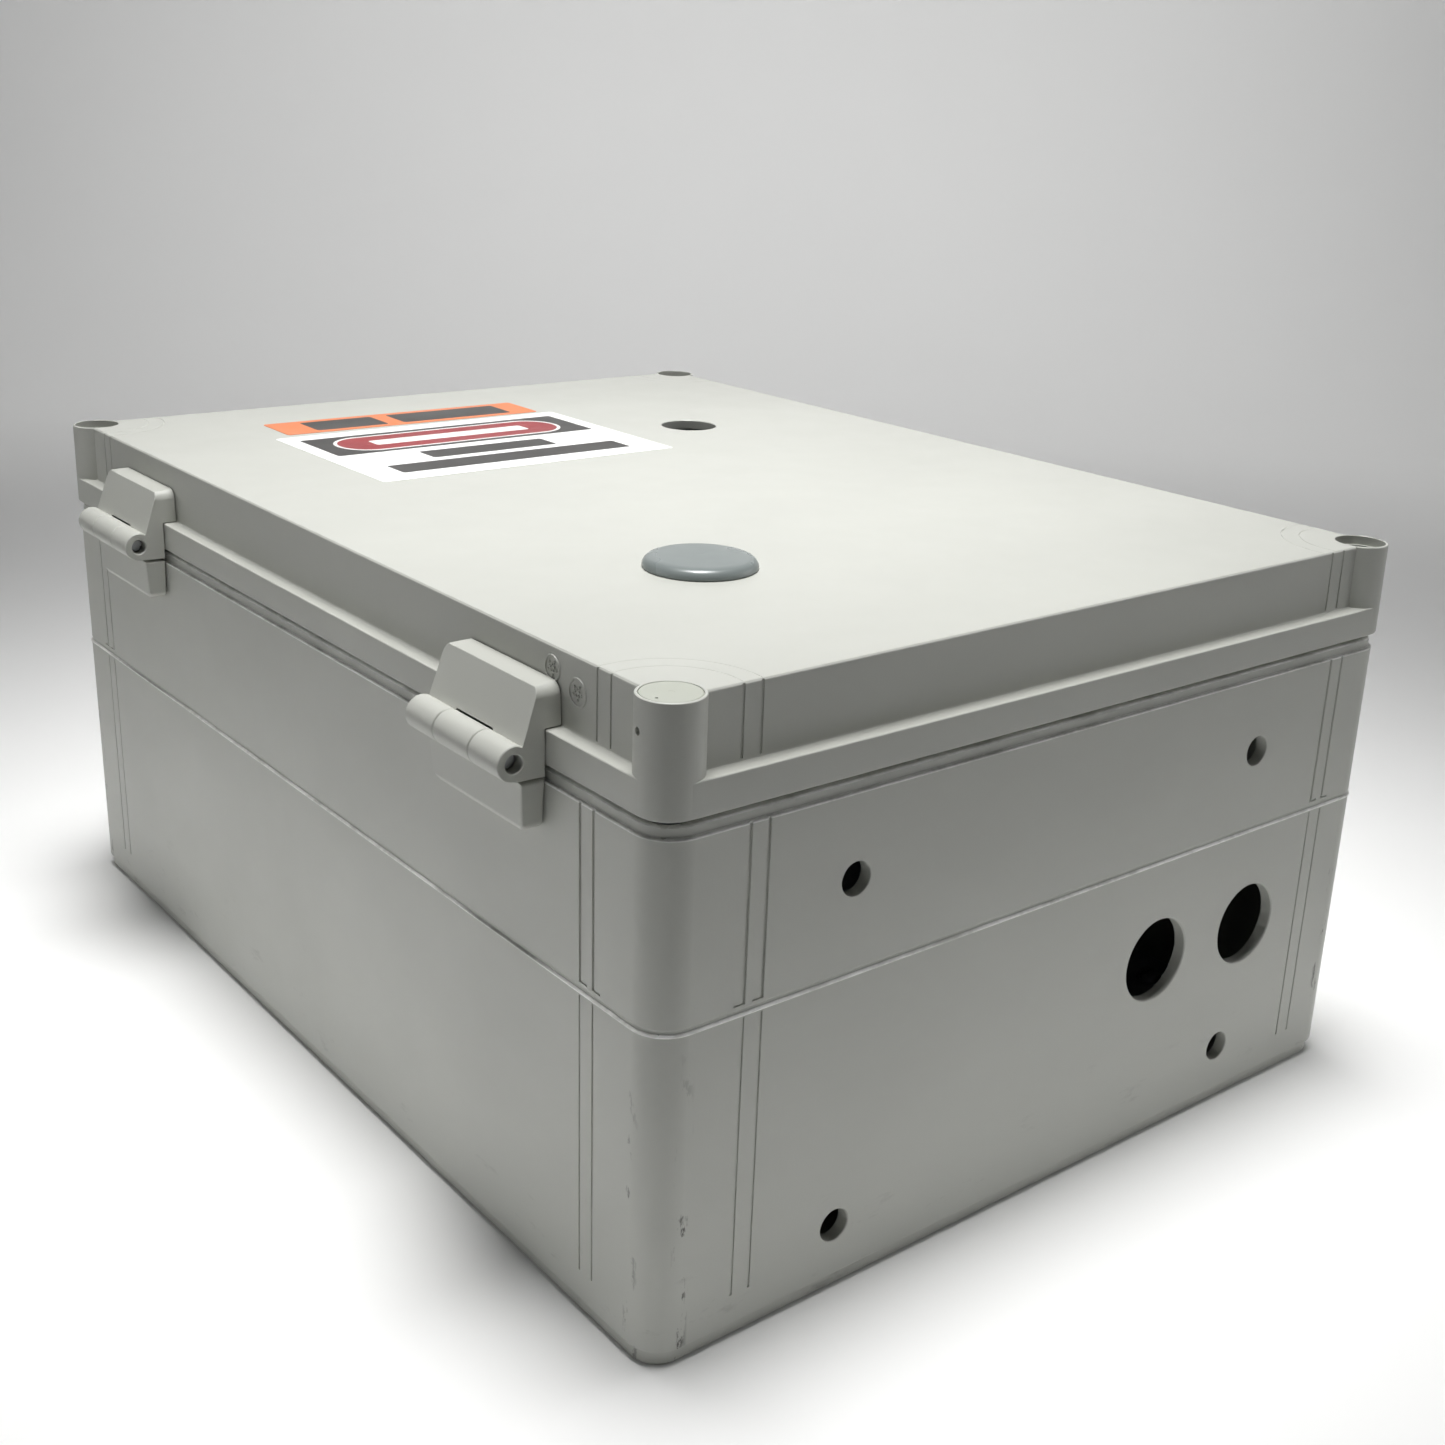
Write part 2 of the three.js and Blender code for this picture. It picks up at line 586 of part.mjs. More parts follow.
placeEach(
  'cover_screw', fourCorners(POST_X, POST_Y), coverScrew, PAINTS.screw,
  POST_FLOOR_Z + REST_GAP);
placeEach(
  'plate_screw', fourCorners(PLATE_SCREW_X, PLATE_SCREW_Y), () => panScrew(PLATE_SCREW),
  PAINTS.screw, PANEL_TOP_Z + REST_GAP);

place('mounting_plate', mountingPlate(), PAINTS.steel);
place('din_rail', dinRail(), PAINTS.steel);
placeEach(
  'rail_screw', [[-RAIL_SCREW_X, RAIL_Y], [RAIL_SCREW_X, RAIL_Y]], () => panScrew(RAIL_SCREW),
  PAINTS.screw, RAIL_Z + RAIL_T + REST_GAP);
place('switch_body', switchCase(), PAINTS.switchCase);
place('switch_lever', switchLever(), PAINTS.lever, 0, RAIL_Y, LEVER_Z);
placeEach(
  'terminal_screw', terminalPlaces(), () => panScrew(TERMINAL_SCREW), PAINTS.screw,
  SWITCH_Z + TERMINAL_FLOOR + 4);

for (const [name, barX] of [['neutral', -BAR_X], ['ground', BAR_X]]) {
  const raised = name === 'neutral' ? SUPPORT.h + 2 * REST_GAP : REST_GAP;
  const barZ = PANEL_TOP_Z + raised;
  place(`${name}_bar`, terminalBar(BAR_L), PAINTS.brass, barX, BAR_Y, barZ);
  placeEach(
    `${name}_screw`, barScrewPlaces(BAR_L).map((x) => [barX + x, BAR_Y]),
    () => panScrew(BAR_SCREW), PAINTS.screw, barZ + BAR_H + REST_GAP);
}
placeEach(
  'neutral_support', SUPPORT_XS.map((x) => [x, BAR_Y]), barSupport, PAINTS.support,
  PANEL_TOP_Z + REST_GAP);

export default box;
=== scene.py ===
import json
import math
from itertools import product

import bmesh
import bpy
from mathutils import Matrix, Vector

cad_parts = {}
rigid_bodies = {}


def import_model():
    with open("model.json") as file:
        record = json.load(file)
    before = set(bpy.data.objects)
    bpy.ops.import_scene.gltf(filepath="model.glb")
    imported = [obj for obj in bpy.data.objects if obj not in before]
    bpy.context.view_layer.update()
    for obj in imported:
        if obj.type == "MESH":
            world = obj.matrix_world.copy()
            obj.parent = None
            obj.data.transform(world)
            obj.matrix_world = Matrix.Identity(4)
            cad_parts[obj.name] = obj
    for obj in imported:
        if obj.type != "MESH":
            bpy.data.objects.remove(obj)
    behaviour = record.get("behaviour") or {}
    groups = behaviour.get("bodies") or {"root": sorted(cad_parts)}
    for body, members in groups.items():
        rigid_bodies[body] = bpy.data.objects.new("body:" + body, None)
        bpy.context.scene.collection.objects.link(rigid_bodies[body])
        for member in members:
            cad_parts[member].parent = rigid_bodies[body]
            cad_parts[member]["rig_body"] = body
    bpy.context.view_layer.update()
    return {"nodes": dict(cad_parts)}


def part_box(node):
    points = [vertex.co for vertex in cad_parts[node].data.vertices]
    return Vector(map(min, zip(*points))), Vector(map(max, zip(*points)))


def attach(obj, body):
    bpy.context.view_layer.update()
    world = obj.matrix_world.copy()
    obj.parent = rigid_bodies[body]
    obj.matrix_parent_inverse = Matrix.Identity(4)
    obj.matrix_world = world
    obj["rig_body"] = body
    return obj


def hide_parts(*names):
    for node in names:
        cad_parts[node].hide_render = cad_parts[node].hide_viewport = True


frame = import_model()

# Looks of the wall-mounted disconnect enclosure. Lengths are in millimetres in the part's
# own frame: +Z out of the wall, +Y up it, hinges on the -X side, conduits on the -Y side.
MM = 0.001


def box_mm(node):
    low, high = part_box(node)
    return low / MM, high / MM


def middle(node):
    low, high = box_mm(node)
    return (low + high) / 2


# ---- sizes ----
COVER_LOW, COVER_HIGH = box_mm("cover")
HALF_W = COVER_HIGH.x
HALF_L = COVER_HIGH.y
TOP_Z = COVER_HIGH.z
SKIRT_Z = COVER_LOW.z
TONGUE_Z = box_mm("base")[1].z
POSTS = [middle(f"cover_screw_{i + 1}").to_2d() for i in range(4)]
POST_FLOOR_Z = 165

CORNER_R = 11
SHARPEST_CORNER_R = 0.6
# The base's walls lean in by DRAFT a millimetre, and stand in by ABOVE_SEAM above the mould line.
DRAFT = 0.0077
ABOVE_SEAM = 0.12
WALL = 4
FLOOR_T = 4
PLINTH_INSET = 2.4
FOOT_Z = 4.5
SEAM_Z = 99.8
RIM_STEP_Z = 152.4
RIM_Z = 155.4
RIM_INSET = 0.7
RIM_FLOOR_Z = 149
# Height and half width of the painted highlight lines: the mould line, the rim's step and its top
# edge.
EDGE_LINES = ((SEAM_Z - 0.4, 0.42), (RIM_STEP_Z - 0.15, 0.42), (RIM_Z - 0.2, 0.25))
LEDGE_Z = 166.7
LEDGE_W = 5
PLATE_T = 3.5
POST_R = 8.9
POST_CORE_R = 10.2
COLUMN_R = 11

# Insets along the seal, the roof of its channel, and how far it keeps from the corner posts.
CHANNEL = (3.5, 8.5)
CHANNEL_ROOF_Z = 163.2
TONGUE = (5, 7)
LIP_INNER = 11.5
RIM_INNER = 9.5
POST_TO_SEAL = 7.3

# The walls' paired grooves: distances from the corner, (width, depth), and heights.
GROOVES = (28, 34)
GROOVES_BY_CONDUITS = (24, 30)
UPPER_GROOVE = (1.25, 0.55)
LOWER_GROOVE = (0.9, 0.4)
GROOVE_FOOT = (3.4, 0.4)
RAISED_GROOVE = (1.0, 0.35)
GROOVE_FOOT_SHIFT = 1.7
GROOVE_FOOT_Z = (SEAM_Z + 2.2, SEAM_Z + 2.9)
LOWER_GROOVE_Z = (14, SEAM_Z - 1.4)
# The arcs round each post on the cover's top face, and half an arc's width.
ARC_RADII = (19.4, 25.3)
ARC_HALF = 0.45

# Holes through the -Y wall as (x, z), with their radii and how far the outer edge is broken.
CONDUITS = ((46.5, 64.8), (92, 64.8))
CONDUIT_R = 14
CONDUIT_EDGE = 0.35
FIXINGS = ((-85.5, 21), (85.5, 21), (-85.5, 127.5), (85.5, 127.5))
FIXING_R = 5
FIXING_EDGE = 0.3
# The base's screw sockets: the thread's radius and heights, and the wider mouth.
THREAD_R = 3.1
THREAD_Z = (128, 143)
SOCKET_R = 5.2
# The cover's open hole as (x, y, radius), and the radius of the one that the plug fills.
PILOT_HOLE = (66, 79, 11.25)
PLUG_HOLE_R = 15.25
# Radii down a corner post: the screw's hole, the bore, and the mouth that a cap sits in.
SHANK_HOLE_R = 3.6
BORE_R = 7
MOUTH_R = 8
MOUTH_DEPTH = 3
# A fine hole for a sealing wire, through the nearest post's wall: (radius, x).
SEAL_HOLE = ((2.2, -152), (1.05, -149.6), (0.95, -149), (0.95, -139))
# Raised marks of the mould: (y, z, radius).
MARKS = ((-157.2, 177.7, 4.0), (-145.6, 181.1, 3.6))
PLATE_SCREWS = [middle(f"plate_screw_{i + 1}").to_2d() for i in range(4)]
PLATE_LOW, PLATE_HIGH = box_mm("mounting_plate")

# ---- mesh tools ----


def from_mesh(name, mesh):
    bmesh.ops.remove_doubles(mesh, verts=mesh.verts, dist=1e-7)
    bmesh.ops.recalc_face_normals(mesh, faces=mesh.faces)
    data = bpy.data.meshes.new(name)
    mesh.to_mesh(data)
    mesh.free()
    made = bpy.data.objects.new(name, data)
    bpy.context.scene.collection.objects.link(made)
    return made


def rings_solid(name, rings, closed=False):
    """A solid through rings of equal point counts: capped at both ends, or closed on itself."""
    mesh = bmesh.new()
    loops = [[mesh.verts.new(Vector(p) * MM) for p in ring] for ring in rings]
    count = len(rings[0])
    pairs = list(zip(loops, loops[1:]))
    if closed:
        pairs.append((loops[-1], loops[0]))
    else:
        mesh.faces.new(loops[0][::-1])
        mesh.faces.new(loops[-1])
    for low, high in pairs:
        for i in range(count):
            j = (i + 1) % count
            mesh.faces.new((low[i], low[j], high[j], high[i]))
    return from_mesh(name, mesh)


def hull(name, points):
    """The convex solid round a set of points."""
    mesh = bmesh.new()
    for p in points:
        mesh.verts.new(Vector(p) * MM)
    bmesh.ops.convex_hull(mesh, input=mesh.verts)
    return from_mesh(name, mesh)


def turned(name, section, centre=(0, 0, 0), axis="Z", steps=64, closed=False):
    """A solid of revolution: section holds (radius, distance along the axis)."""
    rings = []
    for radius, along in section:
        ring = []
        for i in range(steps):
            angle = 2 * math.pi * i / steps
            a, b = radius * math.cos(angle), radius * math.sin(angle)
            point = {"X": (along, a, b), "Y": (a, along, b), "Z": (a, b, along)}[axis]
            ring.append(Vector(point) + Vector(centre))
        rings.append(ring)
    return rings_solid(name, rings, closed)


def extruded(name, shape, low, high, axis):
    """A flat outline in the two other axes, drawn out along one axis."""
    place = {
        "X": lambda a, b, c: (c, a, b),
        "Y": lambda a, b, c: (a, c, b),
        "Z": lambda a, b, c: (a, b, c),
    }[axis]
    return rings_solid(name, [[place(a, b, c) for a, b in shape] for c in (low, high)])


def block(name, low, high, soft=0.0, steps=3):
    made = hull(name, product(*zip(low, high)))
    return softened(made, soft, steps) if soft else made


def baked(piece):
    """Applies the piece's modifiers to its mesh."""
    graph = bpy.context.evaluated_depsgraph_get()
    mesh = bpy.data.meshes.new_from_object(piece.evaluated_get(graph))
    piece.modifiers.clear()
    old = piece.data
    piece.data = mesh
    bpy.data.meshes.remove(old)
    return piece


def softened(piece, width, steps=3, angle=35):
    """Rounds every edge sharper than an angle."""
    bevel = piece.modifiers.new("soft", "BEVEL")
    bevel.width = width * MM
    bevel.segments = steps
    bevel.limit_method = "ANGLE"
    bevel.angle_limit = math.radians(angle)
    bevel.use_clamp_overlap = True
    bevel.miter_outer = "MITER_ARC"
    return baked(piece)


def combined(piece, tools, operation):
    """Applies the tools to the piece one after another, and removes them."""
    for tool in tools:
        step = piece.modifiers.new("combine", "BOOLEAN")
        step.object = tool
        step.operation = operation
        step.solver = "MANIFOLD"
    baked(piece)
    for tool in tools:
        bpy.data.objects.remove(tool)
    return piece


def carved(piece, tools):
    return combined(piece, tools, "DIFFERENCE")


def welded(piece, tools):
    return combined(piece, tools, "UNION")


def gathered(name, pieces):
    """Several separate solids as one mesh."""
    mesh = bmesh.new()
    for piece in pieces:
        mesh.from_mesh(piece.data)
        bpy.data.objects.remove(piece)
    return from_mesh(name, mesh)


def arc(x, y, radius, start, end, steps):
    """Points on an arc, with its angles in degrees."""
    return [
        (
            x + radius * math.cos(math.radians(start + (end - start) * i / steps)),
            y + radius * math.sin(math.radians(start + (end - start) * i / steps)),
        )
        for i in range(steps + 1)
    ]


def rounded_outline(half_x, half_y, radius, steps=12, centre=(0, 0)):
    points = []
    for quarter, (sx, sy) in enumerate(((1, 1), (-1, 1), (-1, -1), (1, -1))):
        x = centre[0] + sx * (half_x - radius)
        y = centre[1] + sy * (half_y - radius)
        points += arc(x, y, radius, 90 * quarter, 90 * (quarter + 1), steps)
    return points


def housing_ring(inset, z):
    """The housing's outline at a height, set in from its widest outer faces."""
    radius = max(CORNER_R - inset, SHARPEST_CORNER_R)
    outline = rounded_outline(HALF_W - inset, HALF_L - inset, radius)
    return [(x, y, z) for x, y in outline]


def seal_ring(inset, z):
    """The seal line's outline: straight along the walls, and hollow round each corner post."""
    steps = 14
    radius = inset + POST_TO_SEAL
    post_x, post_y = POSTS[2]
    reach = HALF_W - inset - post_x
    swing = math.degrees(math.asin(reach / radius))
    points = []
    for quarter, (sx, sy) in enumerate(((1, 1), (-1, 1), (-1, -1), (1, -1))):
        start = -90 + swing + 90 * quarter
        end = -180 - swing + 90 * quarter
        points += [(x, y, z) for x, y in arc(sx * post_x, sy * post_y, radius, start, end, steps)]
    return points


def wall_inset(z):
    """How far in the base's wall stands below the mould line, from the widest faces."""
    return DRAFT * (SKIRT_Z - z)


def upper_inset(z):
    """The same above the mould line."""
    return wall_inset(z) + ABOVE_SEAM


def raised_inset(_):
    """The same for the cover's raised walls, which are upright."""
    return LEDGE_W


def wall_point(wall, along, out, z):
    """A point on one of the four walls, 0 being -Y and then +X, +Y and -X."""
    x, y = along, -out
    for _ in range(wall):
        x, y = -y, x
    return x, y, z


def wall_bar(wall, along, size, low, high, inset_at, proud=0.6):
    """A tapered bar standing in a wall's face, which cuts a groove of that (width, depth)."""
    width, depth = size
    reach = HALF_W if wall % 2 else HALF_L
    points = []
    for z in (low, high):
        face = reach - inset_at(z)
        for out, half in ((face + proud, width * 0.6), (face - depth, width * 0.35)):
            points += [wall_point(wall, along + side * half, out, z) for side in (-1, 1)]
    return hull("groove", points)


def groove_places(wall):
    """Where the paired grooves stand along a wall, with the side that each one's corner is on."""
    half = HALF_L if wall % 2 else HALF_W
    for side in (-1, 1):
        pair = GROOVES_BY_CONDUITS if wall == 0 and side == 1 else GROOVES
        for from_corner in pair:
            yield side * (half - from_corner), side


# ---- materials ----


def srgb(red, green, blue):
    """A colour given as 0 to 255, in linear light."""
    return tuple(
        v / 255 / 12.92 if v / 255 <= 0.04045 else ((v / 255 + 0.055) / 1.055) ** 2.4
        for v in (red, green, blue)
    ) + (1.0,)


def add_node(tree, kind, inputs=(), **settings):
    made = tree.nodes.new(kind)
    for key, value in settings.items():
        setattr(made, key, value)
    for key, value in dict(inputs).items():
        if isinstance(value, bpy.types.NodeSocket):
            tree.links.new(value, made.inputs[key])
        else:
            made.inputs[key].default_value = value
    return made


def toned(colour, share):
    """A linear colour made darker or lighter by a share, and held within white."""
    return tuple(min(c * share, 1) for c in colour[:3]) + (1.0,)


def noise(tree, place, scale, detail=3.0, roughness=0.55):
    inputs = {"Vector": place, "Scale": scale, "Detail": detail, "Roughness": roughness}
    return add_node(tree, "ShaderNodeTexNoise", inputs).outputs["Fac"]


def ramp(tree, value, low, high, to_low=0.0, to_high=1.0):
    """Spreads a value from one range to another, and holds it there."""
    inputs = {0: value, 1: low, 2: high, 3: to_low, 4: to_high}
    return add_node(tree, "ShaderNodeMapRange", inputs).outputs["Result"]


def blend(tree, share, first, second):
    """The first colour where the share is 0, and the second where it is 1."""
    inputs = {0: share, 6: first, 7: second}
    made = add_node(tree, "ShaderNodeMix", inputs, data_type="RGBA")
    return made.outputs[2]


def maths(tree, kind, first, second=0.0):
    return add_node(tree, "ShaderNodeMath", {0: first, 1: second}, operation=kind).outputs[0]


def vectors(tree, kind, inputs, output="Vector"):
    return add_node(tree, "ShaderNodeVectorMath", inputs, operation=kind).outputs[output]


def scaled_place(tree, place, scale):
    inputs = {"Vector": place, "Scale": scale}
    return add_node(tree, "ShaderNodeMapping", inputs).outputs["Vector"]


def new_look(name, metallic=0.0):
    look = bpy.data.materials.new(name)
    look.use_nodes = True
    tree = look.node_tree
    shader = tree.nodes["Principled BSDF"]
    shader.inputs["Metallic"].default_value = metallic
    place = add_node(tree, "ShaderNodeTexCoord").outputs["Object"]
    return look, tree, shader, place


def set_surface(tree, shader, colour, roughness, height, strength, distance):
    """Links a varying colour, roughness and fine relief to the shader."""
    tree.links.new(colour, shader.inputs["Base Color"])
    tree.links.new(roughness, shader.inputs["Roughness"])
    inputs = {"Height": height, "Strength": strength, "Distance": distance * MM}
    bump = add_node(tree, "ShaderNodeBump", inputs)
    tree.links.new(bump.outputs["Normal"], shader.inputs["Normal"])


def moulded(name, colour, roughness, spread, grain=0.25):
    """Moulded plastic: faint flow mottling, a fine texture and patchy gloss."""
    look, tree, shader, place = new_look(name)
    flow = noise(tree, scaled_place(tree, place, (9, 14, 22)), 1.0, 4.0)
    cloud = ramp(tree, flow, 0.3, 0.7)
    tint = blend(tree, cloud, toned(colour, 1 - spread), toned(colour, 1 + spread))
    gloss = ramp(tree, noise(tree, place, 45, 3.0), 0.3, 0.7, roughness - 0.05, roughness + 0.07)
    fine = noise(tree, place, 1500, 2.0)
    set_surface(tree, shader, tint, gloss, fine, grain, 0.06)
    return look


# Where the housing's wear fades, in metres: in from its faces at a corner, and up from its foot.
RUB_STARTS = (0.0075, 0.0105)
RUB_ENDS = (0.0115, 0.0135)
RUB_HEIGHT = (0.04, 0.1)
DIRT_HEIGHT = (0.0, 0.05)
SCUFF = srgb(62, 58, 54)
# The painted highlight lines reach this far in from the outer faces, and not out to the hinges.
HIGHLIGHT_DEPTH = (0.0035, 0.0037)
HIGHLIGHT_OUTER = (-0.0002, -0.0001)
# How softly a painted highlight line ends, in millimetres, and its painted highlight colour.
HIGHLIGHT_FADE = 0.1
PAINTED_HIGHLIGHT = srgb(250, 250, 247)


def housing_plastic(name, colour):
    """The housing's plastic: rubbed corners, dark scuffs low on its walls, and painted highlight
    lines.
    """
    look, tree, shader, place = new_look(name)
    parts = add_node(tree, "ShaderNodeSeparateXYZ", {0: place}).outputs
    flow = noise(tree, scaled_place(tree, place, (7, 11, 18)), 1.0, 4.0)
    tint = blend(tree, ramp(tree, flow, 0.32, 0.68), toned(colour, 0.965), toned(colour, 1.03))
    # Handling marks gather near the upright corner edges, and thin out up the wall.
    from_x = maths(tree, "SUBTRACT", HALF_W * MM, maths(tree, "ABSOLUTE", parts[0]))
    from_y = maths(tree, "SUBTRACT", HALF_L * MM, maths(tree, "ABSOLUTE", parts[1]))
    from_corner = maths(tree, "MAXIMUM", from_x, from_y)
    starts = ramp(tree, from_corner, *RUB_STARTS)
    at_corner = maths(tree, "MULTIPLY", starts, ramp(tree, from_corner, *RUB_ENDS, 1.0, 0.0))
    low_down = ramp(tree, parts[2], *RUB_HEIGHT, 1.0, 0.0)
    streaks = noise(tree, scaled_place(tree, place, (260, 260, 90)), 1.0, 5.0, 0.7)
    chips = ramp(tree, streaks, 0.58, 0.64)
    rubbed = maths(tree, "MULTIPLY", chips, maths(tree, "MULTIPLY", at_corner, low_down))
    smeared = noise(tree, scaled_place(tree, place, (40, 40, 130)), 1.0, 5.0, 0.7)
    smears = ramp(tree, smeared, 0.6, 0.8)
    dirt = maths(tree, "MULTIPLY", smears, ramp(tree, parts[2], *DIRT_HEIGHT, 0.5, 0.0))
    worn = maths(tree, "MAXIMUM", maths(tree, "MULTIPLY", rubbed, 0.9), dirt)
    tint = blend(tree, worn, tint, SCUFF)
    # Painted highlight: the base's outer edges and its mould line are painted a little lighter, as
    # if they caught the light.
    edges = 0.0
    for z, half in EDGE_LINES:
        off = maths(tree, "ABSOLUTE", maths(tree, "SUBTRACT", parts[2], z * MM))
        inner, outer = (half - HIGHLIGHT_FADE) * MM, (half + HIGHLIGHT_FADE) * MM
        edges = maths(tree, "MAXIMUM", ramp(tree, off, inner, outer, 1.0, 0.0), edges)
    nearest = maths(tree, "MINIMUM", from_x, from_y)
    on_face = ramp(tree, nearest, *HIGHLIGHT_DEPTH, 1.0, 0.0)
    off_hinges = ramp(tree, nearest, *HIGHLIGHT_OUTER)
    where = maths(tree, "MULTIPLY", on_face, off_hinges)
    patchy = ramp(tree, noise(tree, place, 55, 4.0, 0.7), 0.36, 0.56, 0.25, 0.95)
    lighter = maths(tree, "MULTIPLY", maths(tree, "MULTIPLY", edges, patchy), where)
    # Painted highlight: the lighter colour is laid along the edge lines.
    tint = blend(tree, lighter, tint, PAINTED_HIGHLIGHT)
    gloss = ramp(tree, noise(tree, place, 38, 3.0), 0.3, 0.7, 0.36, 0.46)
    fine = noise(tree, place, 1300, 2.0)
    set_surface(tree, shader, tint, gloss, fine, 0.22, 0.07)
    return look


def plated(name, colour, roughness, stretch):
    """Plated or drawn metal, with fine streaks along one direction."""
    look, tree, shader, place = new_look(name, metallic=1.0)
    streak = noise(tree, scaled_place(tree, place, stretch), 1.0, 3.0)
    cloud = noise(tree, place, 30, 3.0)
    tint = blend(tree, ramp(tree, cloud, 0.3, 0.7), toned(colour, 0.8), colour)
    gloss = ramp(tree, streak, 0.3, 0.7, roughness - 0.08, roughness + 0.12)
    set_surface(tree, shader, tint, gloss, streak, 0.2, 0.03)
    return look


def foam(name, colour):
    look, tree, shader, place = new_look(name)
    inputs = {"Vector": place, "Scale": 1600}
    cells = add_node(tree, "ShaderNodeTexVoronoi", inputs).outputs["Distance"]
    tint = blend(tree, ramp(tree, cells, 0.1, 0.7), colour, toned(colour, 2.2))
    gloss = ramp(tree, noise(tree, place, 90), 0.3, 0.7, 0.82, 0.95)
    set_surface(tree, shader, tint, gloss, cells, 0.6, 0.2)
    return look


def bar_mask(tree, place, centre, half, radius):
    """1 inside a rounded bar on a label, its place and sizes in millimetres, and 0 outside it."""
    fade = 0.05
    core = ((half[0] - radius) * MM, (half[1] - radius) * MM, 1)
    centred = vectors(tree, "SUBTRACT", {0: place, 1: (centre[0] * MM, centre[1] * MM, 0)})
    past = vectors(tree, "SUBTRACT", {0: vectors(tree, "ABSOLUTE", {0: centred}), 1: core})
    kept = vectors(tree, "MAXIMUM", {0: past, 1: (0, 0, 0)})
    far = vectors(tree, "LENGTH", {0: kept}, "Value")
    return ramp(tree, far, (radius + fade) * MM, (radius - fade) * MM)


def printed(name, ground, bars):
    """Vinyl printed with plain bars, later ones on top: (centre, half size, corner radius, ink)."""
    look, tree, shader, place = new_look(name)
    cloud = ramp(tree, noise(tree, place, 60, 4.0), 0.3, 0.7)
    tint = blend(tree, cloud, toned(ground, 0.96), ground)
    for centre, half, radius, colour in bars:
        ink = blend(tree, cloud, toned(colour, 0.85), colour)
        tint = blend(tree, bar_mask(tree, place, centre, half, radius), tint, ink)
    gloss = ramp(tree, noise(tree, place, 25), 0.3, 0.7, 0.32, 0.42)
    ripple = noise(tree, place, 120, 2.0)
    set_surface(tree, shader, tint, gloss, ripple, 0.12, 0.1)
    return look


# Plain bars stand where the labels' words would be: (centre, half size, corner radius, ink).
BLACK_INK = srgb(52, 50, 48)
RED_INK = srgb(152, 38, 44)
WHITE_INK = srgb(244, 243, 240)
STRIP_BARS = [((-27, 0), (15.5, 8.6), 1.2, BLACK_INK), ((20.5, 0), (25, 8.6), 1.2, BLACK_INK)]
PANEL_BARS = [
    ((0, 19.5), (56.5, 16.5), 1.0, BLACK_INK),
    ((0, 19.5), (49, 13.2), 13.1, WHITE_INK),
    ((0, 19.5), (47.6, 11.8), 11.7, RED_INK),
    ((0, 19.5), (34, 4.2), 1.2, WHITE_INK),
    ((0, -9.5), (27, 6.2), 1.2, BLACK_INK),
    ((0, -27), (49.5, 6.6), 1.2, BLACK_INK),
]

LOOKS = {
    "housing": housing_plastic("housing_plastic", srgb(189, 190, 183)),
    "plug": moulded("plug_plastic", srgb(122, 129, 128), 0.28, spread=0.02, grain=0.06),
    "cap": moulded("cap_plastic", srgb(176, 179, 168), 0.42, spread=0.03),
    "gasket": foam("gasket_foam", srgb(24, 24, 25)),
    "orange_label": printed("orange_print", srgb(228, 128, 74), STRIP_BARS),
    "white_label": printed("white_print", srgb(250, 250, 248), PANEL_BARS),
    "screw": plated("zinc_screw", srgb(188, 190, 194), 0.34, (400, 400, 400)),
    "steel": plated("galvanised_steel", srgb(196, 200, 204), 0.36, (30, 500, 500)),
    "brass": plated("drawn_brass", srgb(205, 168, 88), 0.28, (40, 900, 900)),
    "switch_case": moulded("switch_plastic", srgb(206, 206, 200), 0.5, spread=0.02, grain=0.3),
    "lever": moulded("lever_plastic", srgb(30, 30, 33), 0.36, spread=0.1, grain=0.2),
    "support": moulded("support_plastic", srgb(42, 78, 150), 0.48, spread=0.06, grain=0.3),
}


# ---- putting a piece on its body ----


CREASE_ANGLE = math.radians(28)
FLAT_FACE_WEIGHT = 80


def shade(piece):
    """Smooth shading with hard creases, and flat faces kept flat."""
    piece.data.shade_smooth()
    piece.data.set_sharp_from_angle(angle=CREASE_ANGLE)
    weights = piece.modifiers.new("normals", "WEIGHTED_NORMAL")
    weights.keep_sharp = True
    weights.weight = FLAT_FACE_WEIGHT


def stand_in(piece, node, slot):
    """The piece stands for a CAD node: it takes the node's body, its finish and its place."""
    piece.data.materials.clear()
    piece.data.materials.append(LOOKS[slot])
    shade(piece)
    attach(piece, frame["nodes"][node]["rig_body"])
    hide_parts(node)


# ---- housing ----


def base_outside():
    """The base from its plinth to its rim, with the line where the two halves of the mould met."""
    foot, seam, step = wall_inset(FOOT_Z), wall_inset(SEAM_Z), upper_inset(RIM_STEP_Z)
    plinth = [
        (PLINTH_INSET + 0.6, 0), (PLINTH_INSET + 0.15, 0.2), (PLINTH_INSET, 0.7),
        (PLINTH_INSET, FOOT_Z), (foot + 0.7, FOOT_Z), (foot + 0.2, FOOT_Z + 0.2),
        (foot, FOOT_Z + 0.8),
    ]
    mould_line = [
        (seam, SEAM_Z - 1.1), (seam - 0.3, SEAM_Z - 0.8), (seam - 0.34, SEAM_Z - 0.5),
        (seam - 0.26, SEAM_Z - 0.35), (seam + 0.34, SEAM_Z), (seam + 0.36, SEAM_Z + 0.9),
        (seam + ABOVE_SEAM, SEAM_Z + 1.3),
    ]
    rim = [
        (step, RIM_STEP_Z - 0.45), (step + 0.08, RIM_STEP_Z - 0.25), (step + 0.3, RIM_STEP_Z - 0.08),
        (RIM_INSET + 0.45, RIM_STEP_Z), (RIM_INSET + 0.45, RIM_Z - 0.4), (RIM_INSET + 0.85, RIM_Z),
    ]
    levels = plinth + mould_line + rim
    return rings_solid("base_shell", [housing_ring(inset, z) for inset, z in levels])


